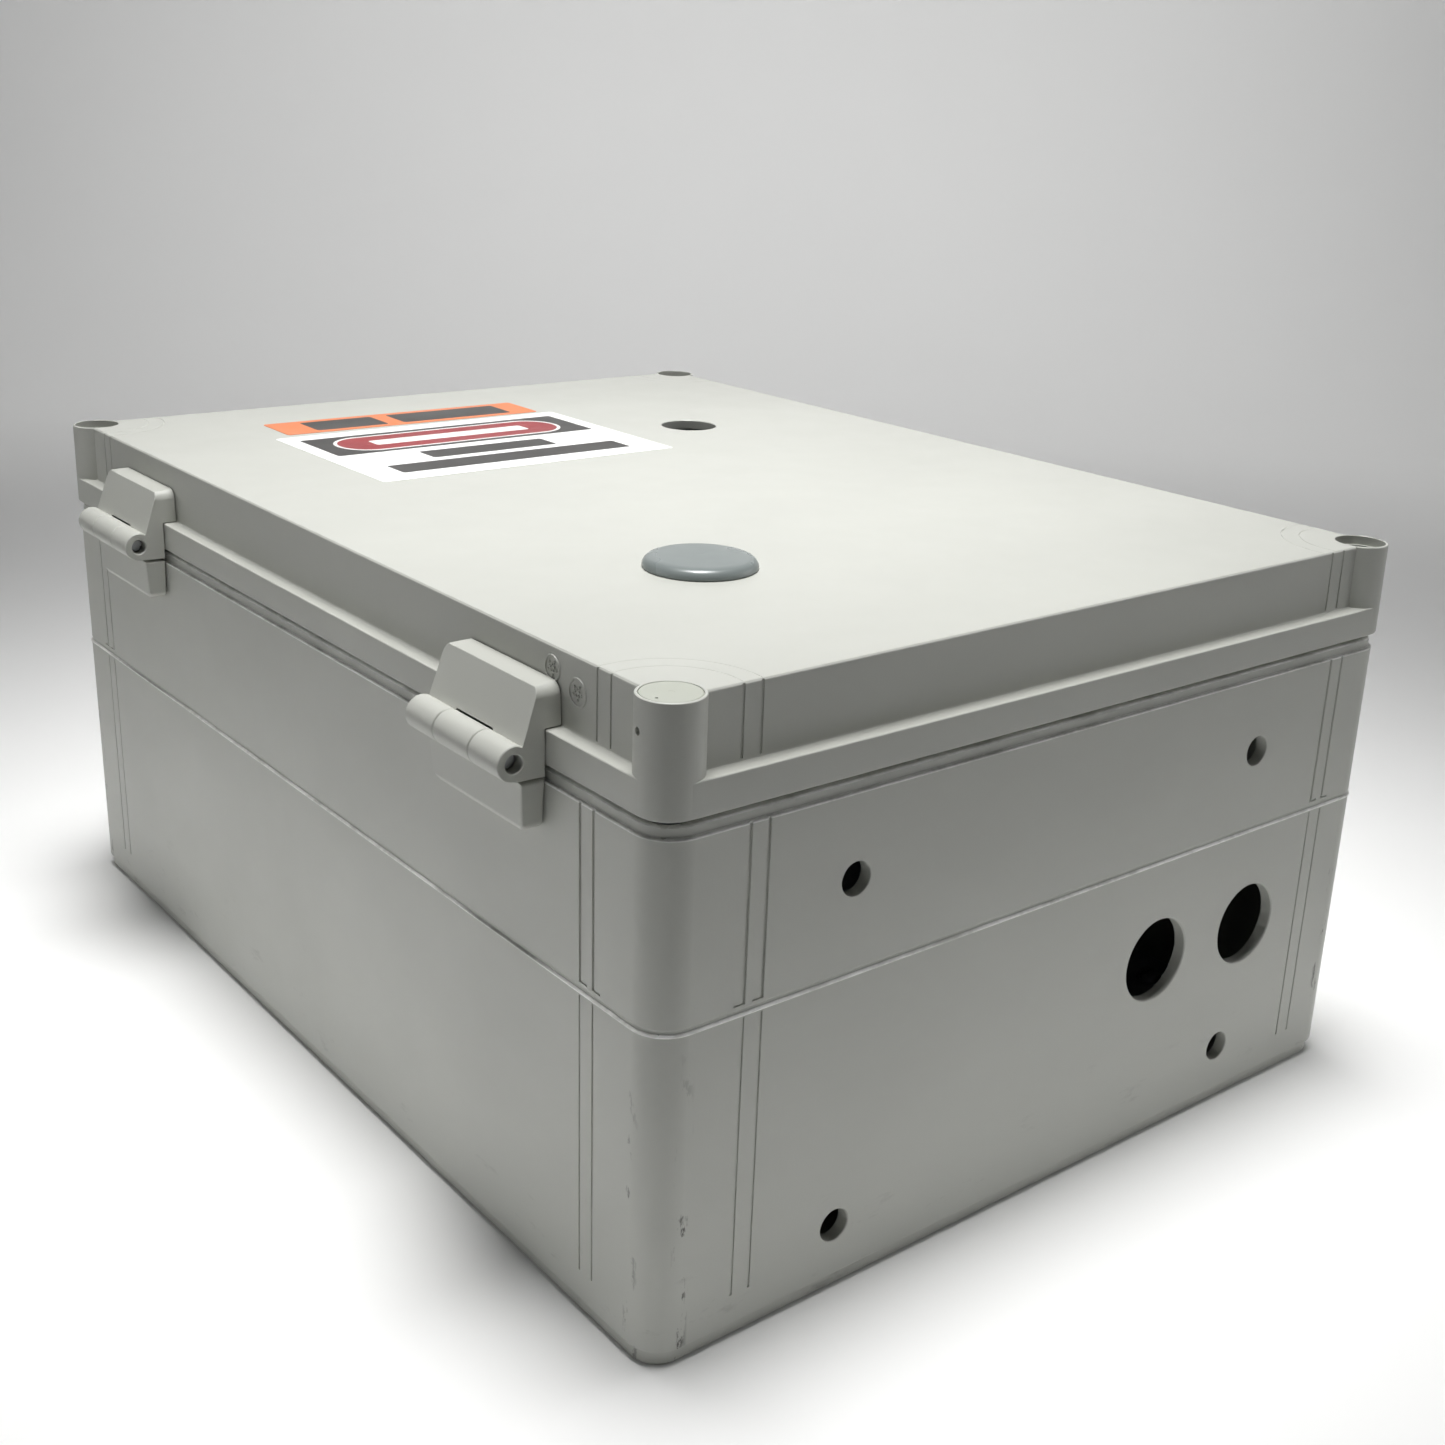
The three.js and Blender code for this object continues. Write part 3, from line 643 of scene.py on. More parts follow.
def base_hollow():
    """The room inside the base, less the screw columns and the plate's bosses."""
    side, top = WALL + wall_inset(FLOOR_T), WALL + wall_inset(RIM_FLOOR_Z)
    levels = [
        (side + 2.6, FLOOR_T), (side + 1.0, FLOOR_T + 0.4), (side + 0.25, FLOOR_T + 1.2),
        (side, FLOOR_T + 2.6), (top, RIM_FLOOR_Z - 0.8), (top + 0.8, RIM_FLOOR_Z),
    ]
    hollow = rings_solid("hollow", [housing_ring(inset, z) for inset, z in levels])
    boss_top = PLATE_LOW.z - 0.1
    boss = [
        (8.4, 2), (8.4, FLOOR_T), (6.9, FLOOR_T + 0.5), (6.2, FLOOR_T + 2), (6, boss_top - 0.5),
        (5.6, boss_top),
    ]
    column = [(COLUMN_R, 1), (COLUMN_R, RIM_Z - 1)]
    columns = [turned("column", column, (x, y, 0)) for x, y in POSTS]
    bosses = [turned("boss", boss, (x, y, 0), steps=40) for x, y in PLATE_SCREWS]
    return carved(hollow, columns + bosses)


def base_grooves():
    """Upright grooves near the corners, above and below the mould line, and their feet."""
    upper_z = (GROOVE_FOOT_Z[0], RIM_STEP_Z + 0.4)
    grooves, feet = [], []
    for wall in range(4):
        for along, side in groove_places(wall):
            grooves.append(wall_bar(wall, along, UPPER_GROOVE, *upper_z, upper_inset))
            grooves.append(wall_bar(wall, along, LOWER_GROOVE, *LOWER_GROOVE_Z, wall_inset))
            foot_at = along + side * GROOVE_FOOT_SHIFT
            feet.append(wall_bar(wall, foot_at, GROOVE_FOOT, *GROOVE_FOOT_Z, upper_inset))
    return [gathered("grooves", grooves), gathered("groove_feet", feet)]


def wall_hole(x, z, radius, chamfer):
    """A cutter for a round hole through the -Y wall, with a broken outer edge."""
    face = -HALF_L + wall_inset(z)
    section = [
        (radius + chamfer + 1.2, face - 1.2), (radius + chamfer, face), (radius, face + chamfer),
        (radius, face + WALL + 6),
    ]
    return turned("hole", section, (x, 0, z), "Y", 72)


def make_base():
    """The base: its hollow shell, the tongue that presses the seal, and every hole and groove."""
    shell = carved(base_outside(), [
        base_hollow(),
        rings_solid("mouth", [
            seal_ring(RIM_INNER, RIM_FLOOR_Z - 0.5), seal_ring(RIM_INNER, RIM_Z - 0.3),
            seal_ring(RIM_INNER - 0.5, RIM_Z + 0.2),
        ]),
    ])
    outer, inner = TONGUE
    tongue = [
        (outer, RIM_Z - 0.5), (outer, TONGUE_Z - 0.4), (outer + 0.12, TONGUE_Z - 0.12),
        (outer + 0.4, TONGUE_Z), (inner - 0.4, TONGUE_Z), (inner - 0.12, TONGUE_Z - 0.12),
        (inner, TONGUE_Z - 0.4), (inner, RIM_Z - 0.5),
    ]
    welded(shell, [rings_solid("tongue", [seal_ring(i, z) for i, z in tongue], closed=True)])
    thread_low, thread_top = THREAD_Z
    socket = [
        (THREAD_R, thread_low), (THREAD_R, thread_top), (SOCKET_R, thread_top),
        (SOCKET_R, RIM_Z - 0.5), (SOCKET_R + 0.6, RIM_Z + 0.1),
    ]
    sockets = [turned("socket", socket, (x, y, 0), steps=48) for x, y in POSTS]
    pilot = [(2.0, 6), (2.0, PLATE_LOW.z - 0.7), (2.6, PLATE_LOW.z + 0.2)]
    screw_holes = [turned("hole", pilot, (x, y, 0), steps=32) for x, y in PLATE_SCREWS]
    conduits = [wall_hole(x, z, CONDUIT_R, CONDUIT_EDGE) for x, z in CONDUITS]
    fixings = [wall_hole(x, z, FIXING_R, FIXING_EDGE) for x, z in FIXINGS]
    carved(shell, sockets + screw_holes + conduits + fixings + base_grooves())
    stand_in(shell, "base", "housing")


def cover_outside():
    levels = [
        (0.6, SKIRT_Z), (0.2, SKIRT_Z + 0.1), (0.03, SKIRT_Z + 0.35), (0, SKIRT_Z + 0.7),
        (0, LEDGE_Z - 0.6), (0.05, LEDGE_Z - 0.25), (0.25, LEDGE_Z - 0.05), (0.6, LEDGE_Z),
        (LEDGE_W - 0.7, LEDGE_Z), (LEDGE_W - 0.2, LEDGE_Z + 0.2), (LEDGE_W, LEDGE_Z + 0.7),
        (LEDGE_W, TOP_Z - 1), (LEDGE_W + 0.12, TOP_Z - 0.5), (LEDGE_W + 0.5, TOP_Z - 0.12),
        (LEDGE_W + 1, TOP_Z),
    ]
    return rings_solid("cover_shell", [housing_ring(inset, z) for inset, z in levels])


def cover_posts():
    section = [
        (POST_R - 0.6, SKIRT_Z), (POST_R - 0.2, SKIRT_Z + 0.1), (POST_R, SKIRT_Z + 0.5),
        (POST_R, TOP_Z - 0.5), (POST_R - 0.12, TOP_Z - 0.15), (POST_R - 0.4, TOP_Z),
    ]
    return [turned("post", section, (x, y, 0), steps=96) for x, y in POSTS]


def cover_hollows():
    """Everything under the cover: its room, the mouth, the seal's channel and the lip."""
    inner = CHANNEL[1]
    roof = TOP_Z - PLATE_T
    room = rings_solid("room", [
        housing_ring(inner, LEDGE_Z - 2), housing_ring(inner, roof - 2),
        housing_ring(inner + 0.6, roof - 0.6), housing_ring(inner + 2, roof),
    ])
    core = [(POST_CORE_R, 160), (POST_CORE_R, TOP_Z)]
    carved(room, [turned("core", core, (x, y, 0)) for x, y in POSTS])
    below = SKIRT_Z - 1
    mouth = rings_solid("mouth", [seal_ring(LIP_INNER, below), seal_ring(LIP_INNER, LEDGE_Z)])
    outer = CHANNEL[0]
    section = [
        (outer, below), (outer, CHANNEL_ROOF_Z - 0.5), (outer + 0.5, CHANNEL_ROOF_Z),
        (inner - 0.5, CHANNEL_ROOF_Z), (inner, CHANNEL_ROOF_Z - 0.5), (inner, below),
    ]
    channel = rings_solid("channel", [seal_ring(i, z) for i, z in section], closed=True)
    relief_z = (below, SKIRT_Z + 1.1)
    relief = rings_solid("relief", [seal_ring(inner - 0.1, z) for z in relief_z])
    return [room, mouth, channel, relief]


def cover_openings():
    seat = TOP_Z - MOUTH_DEPTH
    bore = [
        (SHANK_HOLE_R, SKIRT_Z - 1), (SHANK_HOLE_R, POST_FLOOR_Z), (BORE_R, POST_FLOOR_Z),
        (BORE_R, seat), (MOUTH_R, seat), (MOUTH_R, TOP_Z - 0.12), (MOUTH_R + 0.3, TOP_Z + 0.15),
    ]
    cutters = [turned("bore", bore, (x, y, 0), steps=96) for x, y in POSTS]
    for x, y, radius in (PILOT_HOLE, (*middle("hole_plug").to_2d(), PLUG_HOLE_R)):
        section = [(radius, TOP_Z - 8), (radius, TOP_Z - 0.3), (radius + 0.5, TOP_Z + 0.2)]
        cutters.append(turned("round_hole", section, (x, y, 0), steps=96))
    seal_at = (0, POSTS[0].y + 1.2, TOP_Z - 8.6)
    cutters.append(turned("seal_hole", SEAL_HOLE, seal_at, "X", 24))
    return cutters


def cover_lines():
    """Fine moulding lines: upright pairs on the raised walls, which run on as arcs on the top."""
    low, high = LEDGE_Z + 0.7, TOP_Z - 0.1
    bars, arcs = [], []
    for wall in range(4):
        for along, _ in groove_places(wall):
            bars.append(wall_bar(wall, along, RAISED_GROOVE, low, high, raised_inset))
    for x, y in POSTS:
        for radius in ARC_RADII:
            section = [
                (radius - ARC_HALF, TOP_Z + 0.3), (radius + ARC_HALF, TOP_Z + 0.3),
                (radius, TOP_Z - 0.15),
            ]
            arcs.append(turned("arc", section, (x, y, 0), steps=160, closed=True))
    return [gathered("lines", bars), *arcs]


def cover_mark(y, z, radius):
    """A small raised ring with ticks, as a mould carries, on the wall above the hinges' ledge."""
    face = -HALF_W + LEDGE_W
    ticks, half, turn = 5, 0.3, math.radians(30)
    ring = [
        (radius + 0.2, face + 0.3), (radius, face - 0.35), (radius - 0.3, face - 0.42),
        (radius - 0.6, face - 0.35), (radius - 0.8, face + 0.3),
    ]
    pieces = [turned("mark", ring, (0, y, z), "X", 48, closed=True)]
    for i in range(ticks):
        angle = math.radians(90 + 360 * i / ticks)
        for near in (1.0, 1.9):
            mid_y, mid_z = y + near * math.cos(angle), z + near * math.sin(angle)
            low = (face - 0.35, mid_y - half, mid_z - half)
            high = (face + 0.3, mid_y + half, mid_z + half)
            pieces.append(block("tick", low, high))
            angle += turn
    return gathered("mark", pieces)


def make_cover():
    shell = welded(cover_outside(), cover_posts())
    carved(shell, cover_hollows() + cover_openings() + cover_lines())
    welded(shell, [cover_mark(*mark) for mark in MARKS])
    stand_in(shell, "cover", "housing")


def make_gasket():
    """The foam cord in the cover's channel, rounded on the side that the tongue presses."""
    outer, inner = CHANNEL[0] + 0.4, CHANNEL[1] - 0.4
    low, high = TONGUE_Z + 0.4, box_mm("cover_gasket")[1].z
    half, mid = (inner - outer) / 2, (inner + outer) / 2
    belly = 0.6
    section = [
        (outer, low + belly), (outer, high - 0.3), (outer + 0.3, high), (inner - 0.3, high),
        (inner, high - 0.3), (inner, low + belly),
    ]
    for angle in (0.5, 1.0, 1.57, 2.14, 2.64):
        section.append((mid + half * math.cos(angle), low + belly - belly * math.sin(angle)))
    ring = rings_solid("seal_cord", [seal_ring(i, z) for i, z in section], closed=True)
    stand_in(ring, "cover_gasket", "gasket")


# ---- hinges ----
PIN = middle("hinge_pin_1")
PIN_X, PIN_Z = PIN.x, PIN.z
KNUCKLE_R = 4.9
PIN_HOLE_R = 2.55
# Half the length of the centre knuckle, and the gap at each end of it.
CENTRE_KNUCKLE = 9
KNUCKLE_GAP = 0.3
# Where the leaves' backs stand, just off the walls.
FACE_X = -HALF_W - 0.3
# The cover leaf: its slope's outer corner as (x, z), the height, radius and centre of its
# rounded ends, and a range in x that holds it all.
LEAF_SLOPE = (-156.9, 163.7)
LEAF_ROUND_Z = 164
LEAF_ROUND_R = 3.9
LEAF_ROUND_AT = (4.4, 3.8)
LEAF_RANGE_X = (-165, -140)
# The top of the base leaf, and the foot of the web that carries its knuckle.
BASE_LEAF_TOP_Z = 153.3
WEB_LOW_Z = 152.5


def knuckle(y0, y1):
    inner, edge = KNUCKLE_R - 0.25, 0.25
    section = [(inner, y0), (KNUCKLE_R, y0 + edge), (KNUCKLE_R, y1 - edge), (inner, y1)]
    return turned("knuckle", section, (PIN_X, 0, PIN_Z), "Y", 56)


def pin_hole(y0, y1):
    mouth = PIN_HOLE_R + 0.5
    ends = [(mouth, y0 - 0.25), (PIN_HOLE_R, y0 + 0.3), (PIN_HOLE_R, y1 - 0.3), (mouth, y1 + 0.25)]
    return turned("pin_hole", ends, (PIN_X, 0, PIN_Z), "Y", 40)


def make_cover_leaf(node):
    """The leaf that hooks over the cover's ledge, with a knuckle at each end."""
    low, high = box_mm(node)
    y0, y1, y = low.y, high.y, (low.y + high.y) / 2
    back_x = -HALF_W + LEDGE_W - 0.3
    shape = [
        (FACE_X, low.z), (FACE_X, LEDGE_Z + 0.3), (back_x, LEDGE_Z + 0.3), (back_x, high.z),
        (back_x - 6.6, high.z - 0.5), LEAF_SLOPE, (PIN_X + 1.5, PIN_Z), (PIN_X, low.z + 0.3),
    ]
    leaf = extruded(node, shape, y0, y1, "Y")
    in_y, in_z = LEAF_ROUND_AT
    ends = [
        (y0, low.z - 1), (y1, low.z - 1), (y1, LEAF_ROUND_Z),
        *arc(y1 - in_y, high.z - in_z, LEAF_ROUND_R, 6, 90, 8),
        *arc(y0 + in_y, high.z - in_z, LEAF_ROUND_R, 90, 174, 8), (y0, LEAF_ROUND_Z),
    ]
    combined(leaf, [extruded("ends", ends, *LEAF_RANGE_X, "X")], "INTERSECT")
    softened(leaf, 0.8, angle=24)
    gap0, gap1 = y - CENTRE_KNUCKLE - KNUCKLE_GAP, y + CENTRE_KNUCKLE + KNUCKLE_GAP
    welded(leaf, [knuckle(y0, gap0), knuckle(gap1, y1)])
    room = KNUCKLE_R + 0.6
    carved(leaf, [
        turned("gap", [(room, gap0), (room, gap1)], (PIN_X, 0, PIN_Z), "Y", 56),
        block("gap", (PIN_X - 6, gap0, low.z - 2), (FACE_X + 1, gap1, PIN_Z)),
        pin_hole(y0, y1),
    ])
    leaf.name = f"{node}_moulding"
    stand_in(leaf, node, "housing")


def make_base_leaf(node):
    """The fixed leaf on the base's wall, with the centre knuckle on a web."""
    low, high = box_mm(node)
    y0, y1, y = low.y, high.y, (low.y + high.y) / 2
    levels = ((BASE_LEAF_TOP_Z, 7.1, 0), (low.z + 1.6, 6.4, 0.9), (low.z, 5.4, 2.6))
    points = []
    for z, out, narrow in levels:
        for x in (FACE_X, FACE_X - out):
            points += [(x, y0 + narrow, z), (x, y1 - narrow, z)]
    leaf = softened(hull(node, points), 0.7, angle=20)
    web = [
        (-152, WEB_LOW_Z), (-152, 157.5), (PIN_X + 2, PIN_Z - 1), (PIN_X, 156),
        (-157.4, WEB_LOW_Z),
    ]
    welded(leaf, [
        extruded("web", web, y - CENTRE_KNUCKLE, y + CENTRE_KNUCKLE, "Y"),
        knuckle(y - CENTRE_KNUCKLE, y + CENTRE_KNUCKLE),
    ])
    bore = [(PIN_HOLE_R, y0 - 1), (PIN_HOLE_R, y1 + 1)]
    carved(leaf, [turned("bore", bore, (PIN_X, 0, PIN_Z), "Y", 40)])
    leaf.name = f"{node}_moulding"
    stand_in(leaf, node, "housing")


def make_pin(node):
    low, high = box_mm(node)
    radius, edge = (high.z - low.z) / 2, 0.5
    section = [
        (radius - edge, low.y), (radius, low.y + edge), (radius, high.y - edge),
        (radius - edge, high.y),
    ]
    pin = turned(f"{node}_rod", section, (PIN_X, 0, PIN_Z), "Y", 40)
    stand_in(pin, node, "screw")


# ---- fasteners and trims ----
# The screws' shanks and threads, and the driver's slot.
COVER_SHANK_R = 3.0
SMALL_SHANK_R = 1.9
COVER_PITCH = 1.2
SMALL_PITCH = 0.8
SLOT_HALF = 0.55
SLOT_DEPTH_MOST = 2
# The plug's section, as (radius, height above the cover's top face). A web fills its middle.
PLUG_SKIRT = (
    (12.6, 0.5), (12.9, -8), (14.2, -8), (15.4, -4.6), (15.3, -4.2), (14.7, -3.9), (14.7, 0.1),
)
PLUG_DOME = (
    (17.2, 0.1), (17.45, 0.3), (17.5, 0.7), (17.3, 1.5), (16.8, 2.3), (16.0, 2.95),
    (15.0, 3.3), (13.4, 3.5), (8, 3.75),
)
PLUG_UNDER = ((1, 1.9), (12.0, 1.9))
PLUG_SLIT_HALF = 1.5
# The cap's disc, the ring under it that grips the bore, and the dimple in its top.
CAP_R = 7.94
CAP_T = 2.2
CAP_PROUD = 0.2
CAP_RING = (5.0, 6.2)
CAP_DIMPLE = (-5.4, -1.6)
# How far a label's edge stands inside its box, its corners and its thickness.
LABEL_MARGIN = 0.6
LABEL_CORNER_R = 1.5
LABEL_T = 0.13


def make_screw(node, head_h, shank_r=SMALL_SHANK_R, thread_pitch=SMALL_PITCH):
    """A slotted screw, its head domed on top and its shank cut with thread ridges."""
    low, high = box_mm(node)
    x, y, _ = (low + high) / 2
    head_r = (high.x - low.x) / 2
    seat = high.z - head_h
    section = [(0.3, low.z), (shank_r * 0.6, low.z), (shank_r * 0.9, low.z + 1)]
    z = low.z + 1
    while z + thread_pitch < seat - 0.2:
        section += [(shank_r, z + thread_pitch * 0.5), (shank_r * 0.86, z + thread_pitch)]
        z += thread_pitch
    section += [
        (shank_r, seat), (head_r - 0.15, seat), (head_r, seat + 0.2),
        (head_r, seat + head_h * 0.5), (head_r * 0.93, seat + head_h * 0.78),
        (head_r * 0.75, high.z - 0.12), (head_r * 0.5, high.z),
    ]
    screw = turned(f"{node}_turned", section, (x, y, 0), steps=48)
    depth, reach = min(head_h * 0.5, SLOT_DEPTH_MOST), head_r + 1
    slot = block(
        "slot", (x - reach, y - SLOT_HALF, high.z - depth), (x + reach, y + SLOT_HALF, high.z + 1))
    stand_in(carved(screw, [slot]), node, "screw")


def make_plug():
    """The snap-in plug: a domed flange on a skirt that two slits part into four fingers."""
    low, high = box_mm("hole_plug")
    x, y, _ = (low + high) / 2
    section = [(radius, TOP_Z + up) for radius, up in PLUG_SKIRT + PLUG_DOME]
    section += [(1, high.z)] + [(radius, TOP_Z + up) for radius, up in PLUG_UNDER]
    plug = turned("plug_cap", section, (x, y, 0), steps=96, closed=True)
    web = [(1.6, TOP_Z + 2), (1.6, high.z - 0.02)]
    welded(plug, [turned("web", web, (x, y, 0), steps=24)])
    slits = []
    for half_x, half_y in ((20, PLUG_SLIT_HALF), (PLUG_SLIT_HALF, 20)):
        slits.append(block(
            "slit", (x - half_x, y - half_y, TOP_Z - 9), (x + half_x, y + half_y, TOP_Z - 1.2)))
    stand_in(carved(plug, slits), "hole_plug", "plug")


def make_post_cap():
    """The one screw cap left in place: a disc in the post's mouth, with a ring under it."""
    low, high = box_mm("post_cap")
    x, y, _ = (low + high) / 2
    top = high.z + CAP_PROUD
    under = top - CAP_T
    inner, outer = CAP_RING
    section = [
        (inner, under), (inner, low.z), (outer - 0.2, low.z), (outer, low.z + 0.3),
        (outer, under), (CAP_R, under), (CAP_R, top - 0.3), (CAP_R - 0.25, top),
        (1, top - 0.08), (1, under),
    ]
    cap = turned("post_cap_disc", section, (x, y, 0), steps=80, closed=True)
    fill = [(1.5, top - 2.1), (1.5, top - 0.1)]
    welded(cap, [turned("fill", fill, (x, y, 0), steps=24)])
    dimple_at = (x + CAP_DIMPLE[0], y + CAP_DIMPLE[1], 0)
    dimple = turned("dimple", [(0.3, top - 1), (0.45, top + 0.5)], dimple_at, steps=20)
    stand_in(carved(cap, [dimple]), "post_cap", "cap")


def make_label(node, slot, tilt):
    """A thin vinyl label about its own centre, turned a little as it was stuck on by hand."""
    low, high = box_mm(node)
    half_x = (high.x - low.x) / 2 - LABEL_MARGIN
    half_y = (high.y - low.y) / 2 - LABEL_MARGIN
    outline = rounded_outline(half_x, half_y, LABEL_CORNER_R, 6)
    inner = rounded_outline(half_x - 0.05, half_y - 0.05, LABEL_CORNER_R, 6)
    label = rings_solid(f"{node}_vinyl", [
        [(x, y, 0) for x, y in outline], [(x, y, LABEL_T - 0.03) for x, y in outline],
        [(x, y, LABEL_T) for x, y in inner],
    ])
    place = Vector(((low.x + high.x) / 2, (low.y + high.y) / 2, TOP_Z + 0.02)) * MM
    label.matrix_world = Matrix.Translation(place) @ Matrix.Rotation(math.radians(tilt), 4, "Z")
    stand_in(label, node, slot)


# ---- inside ----
# The plate, its three sorts of hole, and the rows of spare ones.
PLATE_CORNER_R = 5
PLATE_EDGE = 0.25
PLATE_SCREW_HOLE_R = 2.6
RAIL_SCREW_HOLE_R = 2.4
SPARE_HOLE_R = 2.1
SPARE_ROWS_Y = (-135, 125)
SPARE_X = range(-75, 76, 30)
# The top-hat rail, its bends, and its slots: (half length, half width, corner radius).
RAIL_T = 1.0
HAT_HALF = 13.5
OUTER_BEND = 0.9
INNER_BEND = 0.3
RAIL_SLOT = (7.5, 2.6, 2.55)
RAIL_SLOTS = 8
RAIL_SLOT_SPAN = 170
# The switch: heights above its foot, and distances from its middle.
SHOULDER_H = 44
TOWER_FOOT = 24
TOWER_TOP = 22.5
TERMINAL_R = 5
WIRE_WAY_H = (18, 29)
POLE_SEAM_X = 33
VENT_X = (34.6, 38)
VENT_ROWS = 5
VENT_STEP = 3.2
RECESS_X = 26
TERMINALS = [middle(f"terminal_screw_{i + 1}").to_2d() for i in range(4)]
# The lever about its pivot, drawn upright, and its tilt at rest.
DRUM_R = 10.4
DRUM_HALF = 14.6
LEVER_SLOT_R = 11
LEVER_SLOT_HALF = 15
PADDLE = ((-13, -3, 6), (13, 2.5, 22))
RIDGES_Z = (12.4, 15, 17.6)
LEVER_TILT = math.radians(40)
# Where a bar's holes stand, as shares of its length, and their radii.
BAR_HOLES = (-0.36, -0.24, -0.12, 0, 0.12, 0.24, 0.36)
WIRE_HOLE_R = 1.6
BAR_SCREW_HOLE_R = 2.4
# A bar's insulating support, with a waist: (inset, height).
SUPPORT_LEVELS = (
    (0.5, 0), (0, 0.5), (0, 3.5), (1.6, 5), (1.6, 11), (0, 12.5), (0, 15.5), (0.5, 16),
)
SUPPORT_CORNER_R = 1.6


def make_plate():
    levels = (
        (PLATE_EDGE, PLATE_LOW.z), (0, PLATE_LOW.z + PLATE_EDGE), (0, PLATE_HIGH.z - PLATE_EDGE),
        (PLATE_EDGE, PLATE_HIGH.z),
    )
    rings = []
    for inset, z in levels:
        outline = rounded_outline(
            PLATE_HIGH.x - inset, PLATE_HIGH.y - inset, PLATE_CORNER_R - inset, 8)
        rings.append([(x, y, z) for x, y in outline])
    plate = rings_solid("mounting_panel", rings)
    places = [(*place, PLATE_SCREW_HOLE_R) for place in PLATE_SCREWS]
    places += [(*middle(f"rail_screw_{i + 1}").to_2d(), RAIL_SCREW_HOLE_R) for i in range(2)]
    places += [(x, y, SPARE_HOLE_R) for y in SPARE_ROWS_Y for x in SPARE_X]
    holes = [turned("hole", [(r, 10), (r, 25)], (x, y, 0), steps=32) for x, y, r in places]
    stand_in(carved(plate, holes), "mounting_plate", "steel")


def make_rail():
    """A top-hat rail of folded sheet, with slots along its middle."""
    low, high = box_mm("din_rail")
    y, lip = (low.y + high.y) / 2, (high.y - low.y) / 2
    z0, z1 = low.z, high.z
    t, bend, tight = RAIL_T, OUTER_BEND, INNER_BEND
    right = [
        (lip, z1 - t), (lip, z1), *arc(HAT_HALF - t + bend, z1 - bend, bend, 90, 180, 5),
        *arc(HAT_HALF - t - tight, z0 + t + tight, tight, 0, -90, 3),
    ]
    under = [
        *arc(HAT_HALF - bend, z0 + bend, bend, -90, 0, 5),
        *arc(HAT_HALF + tight, z1 - t - tight, tight, 180, 90, 3),
    ]
    left = [(-a, b) for a, b in reversed(right)]
    below = [(-a, b) for a, b in reversed(under)]
    shape = [(y + a, b) for a, b in right + left + below + under]
    rail = extruded("hat_rail", shape, low.x, high.x, "X")
    slots = []
    for i in range(RAIL_SLOTS):
        at = -RAIL_SLOT_SPAN / 2 + i * RAIL_SLOT_SPAN / (RAIL_SLOTS - 1)
        outline = rounded_outline(*RAIL_SLOT, 8, (at, y))
        slots.append(extruded("slot", outline, z0 - 1, z0 + t + 1, "Z"))
    stand_in(carved(rail, slots), "din_rail", "steel")


def make_switch():
    low, high = box_mm("switch_body")
    x0, x1, y0, y1, z0, z1 = low.x, high.x, low.y, high.y, low.z, high.z
    y = (y0 + y1) / 2
    shoulder = z0 + SHOULDER_H
    shape = [
        (y0, z0), (y1, z0), (y1, shoulder), (y + TOWER_FOOT, shoulder), (y + TOWER_TOP, z1),
        (y - TOWER_TOP, z1), (y - TOWER_FOOT, shoulder), (y0, shoulder),
    ]
    case = softened(extruded("switch_case", shape, x0, x1, "X"), 1.2)
    rail_top = box_mm("din_rail")[1].z
    lever_slot = [(LEVER_SLOT_R, -LEVER_SLOT_HALF), (LEVER_SLOT_R, LEVER_SLOT_HALF)]
    cutters = [
        block("rail_slot", (x0 - 5, y - 18, z0 - 2), (x1 + 5, y + 18, rail_top + 0.4)),
        turned("lever_slot", lever_slot, (0, y, z1), "X", 72),
    ]
    terminal = [
        (TERMINAL_R, z0 + 34), (TERMINAL_R, shoulder - 0.5), (TERMINAL_R + 0.7, shoulder + 0.2),
    ]
    way_low, way_top = z0 + WIRE_WAY_H[0], z0 + WIRE_WAY_H[1]
    for x, terminal_y in TERMINALS:
        cutters.append(turned("terminal", terminal, (x, terminal_y, 0), steps=48))
        end = -1 if terminal_y < y else 1
        face = y + end * 45
        near, far = sorted((face + end * 1, face - end * 14))
        cutters.append(block("wire_way", (x - 5, near, way_low), (x + 5, far, way_top)))
    for side in (-1, 1):
        seam_x = side * POLE_SEAM_X
        cutters.append(block(
            "seam", (seam_x - 0.25, y0 - 1, z0 + 6), (seam_x + 0.25, y1 + 1, z1 + 1)))
        near, far = sorted(side * x for x in VENT_X)
        for row in range(VENT_ROWS):
            z = z0 + 14 + row * VENT_STEP
            cutters.append(block("vent", (near, y - 10, z), (far, y + 10, z + 1.2)))
    for x in (-RECESS_X, RECESS_X):
        cutters.append(block("recess", (x - 5.5, y - 17, z1 - 0.4), (x + 5.5, y + 17, z1 + 1)))
    for cutter in cutters:
        carved(case, [cutter])
    stand_in(case, "switch_body", "switch_case")


def make_lever():
    pivot = Vector((0, middle("switch_body").y, box_mm("switch_body")[1].z))
    end_r = DRUM_R - 0.4
    section = [(end_r, -DRUM_HALF), (DRUM_R, -14.2), (DRUM_R, 14.2), (end_r, DRUM_HALF)]
    drum = turned("lever_drum", section, pivot, "X", 72)
    parts = [block("paddle", *PADDLE, 1.1, 4)]
    for z in RIDGES_Z:
        parts.append(block("ridge", (-10.5, 1.9, z), (10.5, 3.0, z + 1.1), 0.2, 2))
    turn = Matrix.Translation(pivot * MM) @ Matrix.Rotation(LEVER_TILT, 4, "X")
    for part in parts:
        part.data.transform(turn)
        welded(drum, [part])
    stand_in(drum, "switch_lever", "lever")


